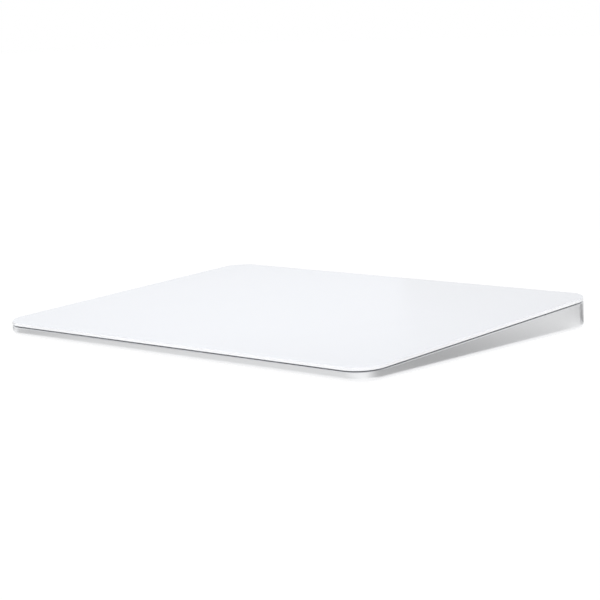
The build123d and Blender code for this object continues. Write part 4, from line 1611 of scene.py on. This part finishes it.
@dataclass
class SwitchSlider:
    """The sliding knob of the power switch, on its carrier."""

    knob_length: float = 5.4 * MM
    knob_height: float = 2.2 * MM
    knob_round: float = 0.2 * MM
    carrier: float = 0.7 * MM
    nub: Point = (1.4 * MM, 0.9 * MM, 1.2 * MM)

    def build(self) -> None:
        """Make the knob, the carrier and the nub as one moulding."""
        low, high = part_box("power_switch_slider")
        x, z = (low.x + high.x) / 2, (low.z + high.z) / 2
        front = low.y + self.nub[1]
        soft, half = self.knob_round, self.carrier / 2
        stack = [(front + half, 0), (high.y - soft, 0)]
        stack += [(high.y - soft + along, soft - across) for across, along in quarter(soft, 6)[1:]]
        rings = []
        for y, inset in stack:
            outline = slot_outline(self.knob_length - 2 * inset, self.knob_height - 2 * inset, 24)
            rings.append([(x + a, y, z + u) for a, u in outline])
        wide, tall = self.nub[0] / 2, self.nub[2] / 2
        plates = [
            [[(x0, y, z0), (x1, y, z0), (x1, y, z1), (x0, y, z1)] for y in (y0, y1)]
            for x0, x1, y0, y1, z0, z1 in (
                (low.x, high.x, front, front + self.carrier, low.z, high.z),
                (x - wide, x + wide, low.y, front + half, z - tall, z + tall),
            )
        ]
        piece = smooth(lofted("switch_knob", rings, *plates))
        hand_over(piece, SWITCH, "switch_white", "power_switch_slider")


class CarriedOver:
    """The nodes whose own shape is right, which get their finish here."""

    def build(self) -> None:
        """Dress every node that still shows."""
        slots = {row["node"]: row["material_slot"] for row in frame["record"]["subparts"]}
        shown = {node: thing for node, thing in frame["nodes"].items() if not thing.hide_render}
        for node, thing in shown.items():
            thing.data.materials.clear()
            thing.data.materials.append(material_of(slots[node]))
        log.info("%d nodes carried over", len(shown))


# Studio


@dataclass(frozen=True)
class Card:
    """A graded studio card, bent where it meets the floor, that only reflections see.

    Its places and lengths are in millimetres.
    """

    name: str
    near: tuple[Point2, Point2]
    far: tuple[Point2, Point2]
    height: float
    axis: int
    darkest: float
    reach: float
    levels: Point2
    clearance: float = 0.1
    slant: float = 0.0

    def build(self) -> None:
        """Lay the apron from near to far and stand the rest of the card on its far edge."""
        bm = bmesh.new()
        rows = ((self.near, self.clearance), (self.far, self.clearance), (self.far, self.height))
        near, far, top = [
            [bm.verts.new((x * MM, y * MM, level * MM)) for x, y in places] for places, level in rows
        ]
        bm.faces.new((near[0], near[1], far[1], far[0]))
        bm.faces.new((far[0], far[1], top[1], top[0]))
        card = from_bmesh(self.name, bm, recalculate=False)
        look = Look(self.name)
        low, high = self.levels
        axes = look.axes()
        across, along = axes[self.axis], axes[1 - self.axis]
        away = look.ramp(abs(across - along * self.slant - self.darkest * MM), 0.0, self.reach * MM)
        inputs = {"Color": WHITE, "Strength": low + away * (high - low)}
        look.feed(look.output.inputs["Surface"], look.node("ShaderNodeEmission", inputs).outputs[0])
        card.data.materials.append(look.material)
        for ray in ("camera", "diffuse", "shadow", "transmission", "volume_scatter"):
            setattr(card, "visible_" + ray, False)


CARDS = (
    Card("right_card", near=((82.5, -58), (82.8, 47)), far=((150, -58), (150, 147)), height=160,
         axis=1, darkest=-15, reach=100, levels=(0.385, 0.89)),
    Card("front_card", near=((-77.5, -59.2), (77, -59.2)), far=((-145, -130), (40, -130)), height=120,
         axis=0, darkest=-110, reach=70, levels=(0.36, 0.82)),
    Card("rear_card", near=((50, 64.9), (88.6, 64.9)), far=((-60, 130), (124, 130)), height=45,
         axis=0, darkest=56.5, reach=35, levels=(0.05, 0.84), clearance=0.15, slant=0.48),
    Card("back_card", near=((-76, 60), (46, 60)), far=((-150, 170), (30, 170)), height=0.3,
         axis=0, darkest=-75, reach=130, levels=(0.5, 0.86), clearance=0.12),
    Card("left_card", near=((-82.5, -50), (-82.5, 50)), far=((-190, -120), (-190, 120)), height=0.3,
         axis=1, darkest=-45, reach=110, levels=(0.3, 0.86)),
    Card("under_card", near=((-80.4, -57.8), (80.4, -57.8)), far=((-80.4, 57.8), (80.4, 57.8)),
         height=0.2, axis=0, darkest=0, reach=80, levels=(1.12, 1.12)),
)


@dataclass(frozen=True)
class Studio:
    """The pale floor, the soft light and the camera."""

    floor_size: float = 6.0
    floor_colour: Colour = (0.88, 0.88, 0.885)
    floor_roughness: float = 0.9
    floor_share: float = 0.9
    white: float = 1.06
    sky: float = 0.75
    horizon: float = 1.16
    low_light: float = 2.1
    horizon_top: float = 0.45
    sky_colour: Colour = (0.975, 0.985, 1.0)
    lamp_place: Point = (0, -30 * MM, 200 * MM)
    lamp_size: float = 150 * MM
    lamp_watts: float = 0.1
    azimuth: float = math.radians(42.392)
    elevation: float = math.radians(8.644)
    roll: float = math.radians(-1.871)
    distance: float = 606.83 * MM
    side_shift: float = 2.347 * MM
    rise: float = 10.404 * MM
    focal_pixels: float = 1834.15
    picture_pixels: float = 600.0
    sensor: float = 36.0
    clip_start: float = 0.01

    def floor(self) -> None:
        """A large pale floor that shows white and keeps a faint shadow."""
        bm = bmesh.new()
        bmesh.ops.create_grid(bm, x_segments=1, y_segments=1, size=self.floor_size)
        floor = from_bmesh("studio_floor", bm, recalculate=False)
        look = Look("studio_floor")
        look.set(Base_Color=rgba(self.floor_colour), Roughness=self.floor_roughness)
        glow = look.node("ShaderNodeEmission", {"Color": WHITE, "Strength": self.white})
        share = (look.background_share() + look.mirrored()) * self.floor_share
        mix = look.node("ShaderNodeMixShader", {0: share, 1: look.shader.outputs[0], 2: glow.outputs[0]})
        look.feed(look.output.inputs["Surface"], mix.outputs[0])
        floor.data.materials.append(look.material)

    def world(self) -> None:
        """Soft light from everywhere, brightest at the horizon, with plain white behind the object."""
        world = bpy.data.worlds.new("studio_sky")
        bpy.context.scene.world = world
        world.use_nodes = True
        sky = ShaderTree(world.node_tree)
        direction = sky.node("ShaderNodeTexCoord").outputs["Generated"]
        split = sky.node("ShaderNodeSeparateXYZ", {0: direction})
        upward = sky.ramp(Signal(sky, split.outputs["Z"]), 0.0, self.horizon_top)
        horizon = self.horizon + (1 - sky.mirrored()) * (self.low_light - self.horizon)
        level = horizon + upward * (self.sky - horizon)
        light = sky.node("ShaderNodeBackground", {"Color": rgba(self.sky_colour), "Strength": level})
        white = sky.node("ShaderNodeBackground", {"Color": WHITE})
        inputs = {0: sky.background_share(), 1: light.outputs[0], 2: white.outputs[0]}
        sky.node("ShaderNodeOutputWorld", {"Surface": sky.node("ShaderNodeMixShader", inputs).outputs[0]})

    def lamp(self) -> None:
        """A soft lamp overhead that points straight down, which reflections don't see."""
        data = bpy.data.lights.new("overhead", "AREA")
        data.shape = "RECTANGLE"
        data.size = data.size_y = self.lamp_size
        data.energy = self.lamp_watts
        lamp = new_object("overhead", data)
        lamp.location = self.lamp_place
        lamp.visible_camera = lamp.visible_glossy = False

    def camera(self) -> None:
        """The camera at the photograph's angle."""
        data = bpy.data.cameras.new("camera")
        data.sensor_width = self.sensor
        data.lens = self.focal_pixels * self.sensor / self.picture_pixels
        data.clip_start = self.clip_start
        camera = new_object("camera", data)
        a, e, r = self.azimuth, self.elevation, self.roll
        back = Vector((math.sin(a) * math.cos(e), -math.cos(a) * math.cos(e), math.sin(e)))
        level = Vector((math.cos(a), math.sin(a), 0))
        upright = back.cross(level)
        right = math.cos(r) * level + math.sin(r) * upright
        up = -math.sin(r) * level + math.cos(r) * upright
        place = back * self.distance + right * self.side_shift + up * self.rise
        axes = Matrix((right, up, back)).transposed().to_4x4()
        camera.matrix_world = Matrix.Translation(place) @ axes
        bpy.context.scene.camera = camera

    def build(self) -> None:
        """Set the stage."""
        self.floor()
        self.world()
        self.lamp()
        for card in CARDS:
            card.build()
        self.camera()
        bpy.context.scene.view_settings.view_transform = "Standard"


def main() -> None:
    """Build every piece in order."""
    logging.basicConfig(level=logging.INFO, format="%(name)s: %(message)s")
    Studio().build()
    parts = (
        GlassDeck, WedgeHousing, Fasteners, WoundCoils, SoftLinks, Underside, ChargeSocket, SwitchSlider,
        CarriedOver,
    )
    for part in parts:
        part().build()


if __name__ == "__main__":
    main()
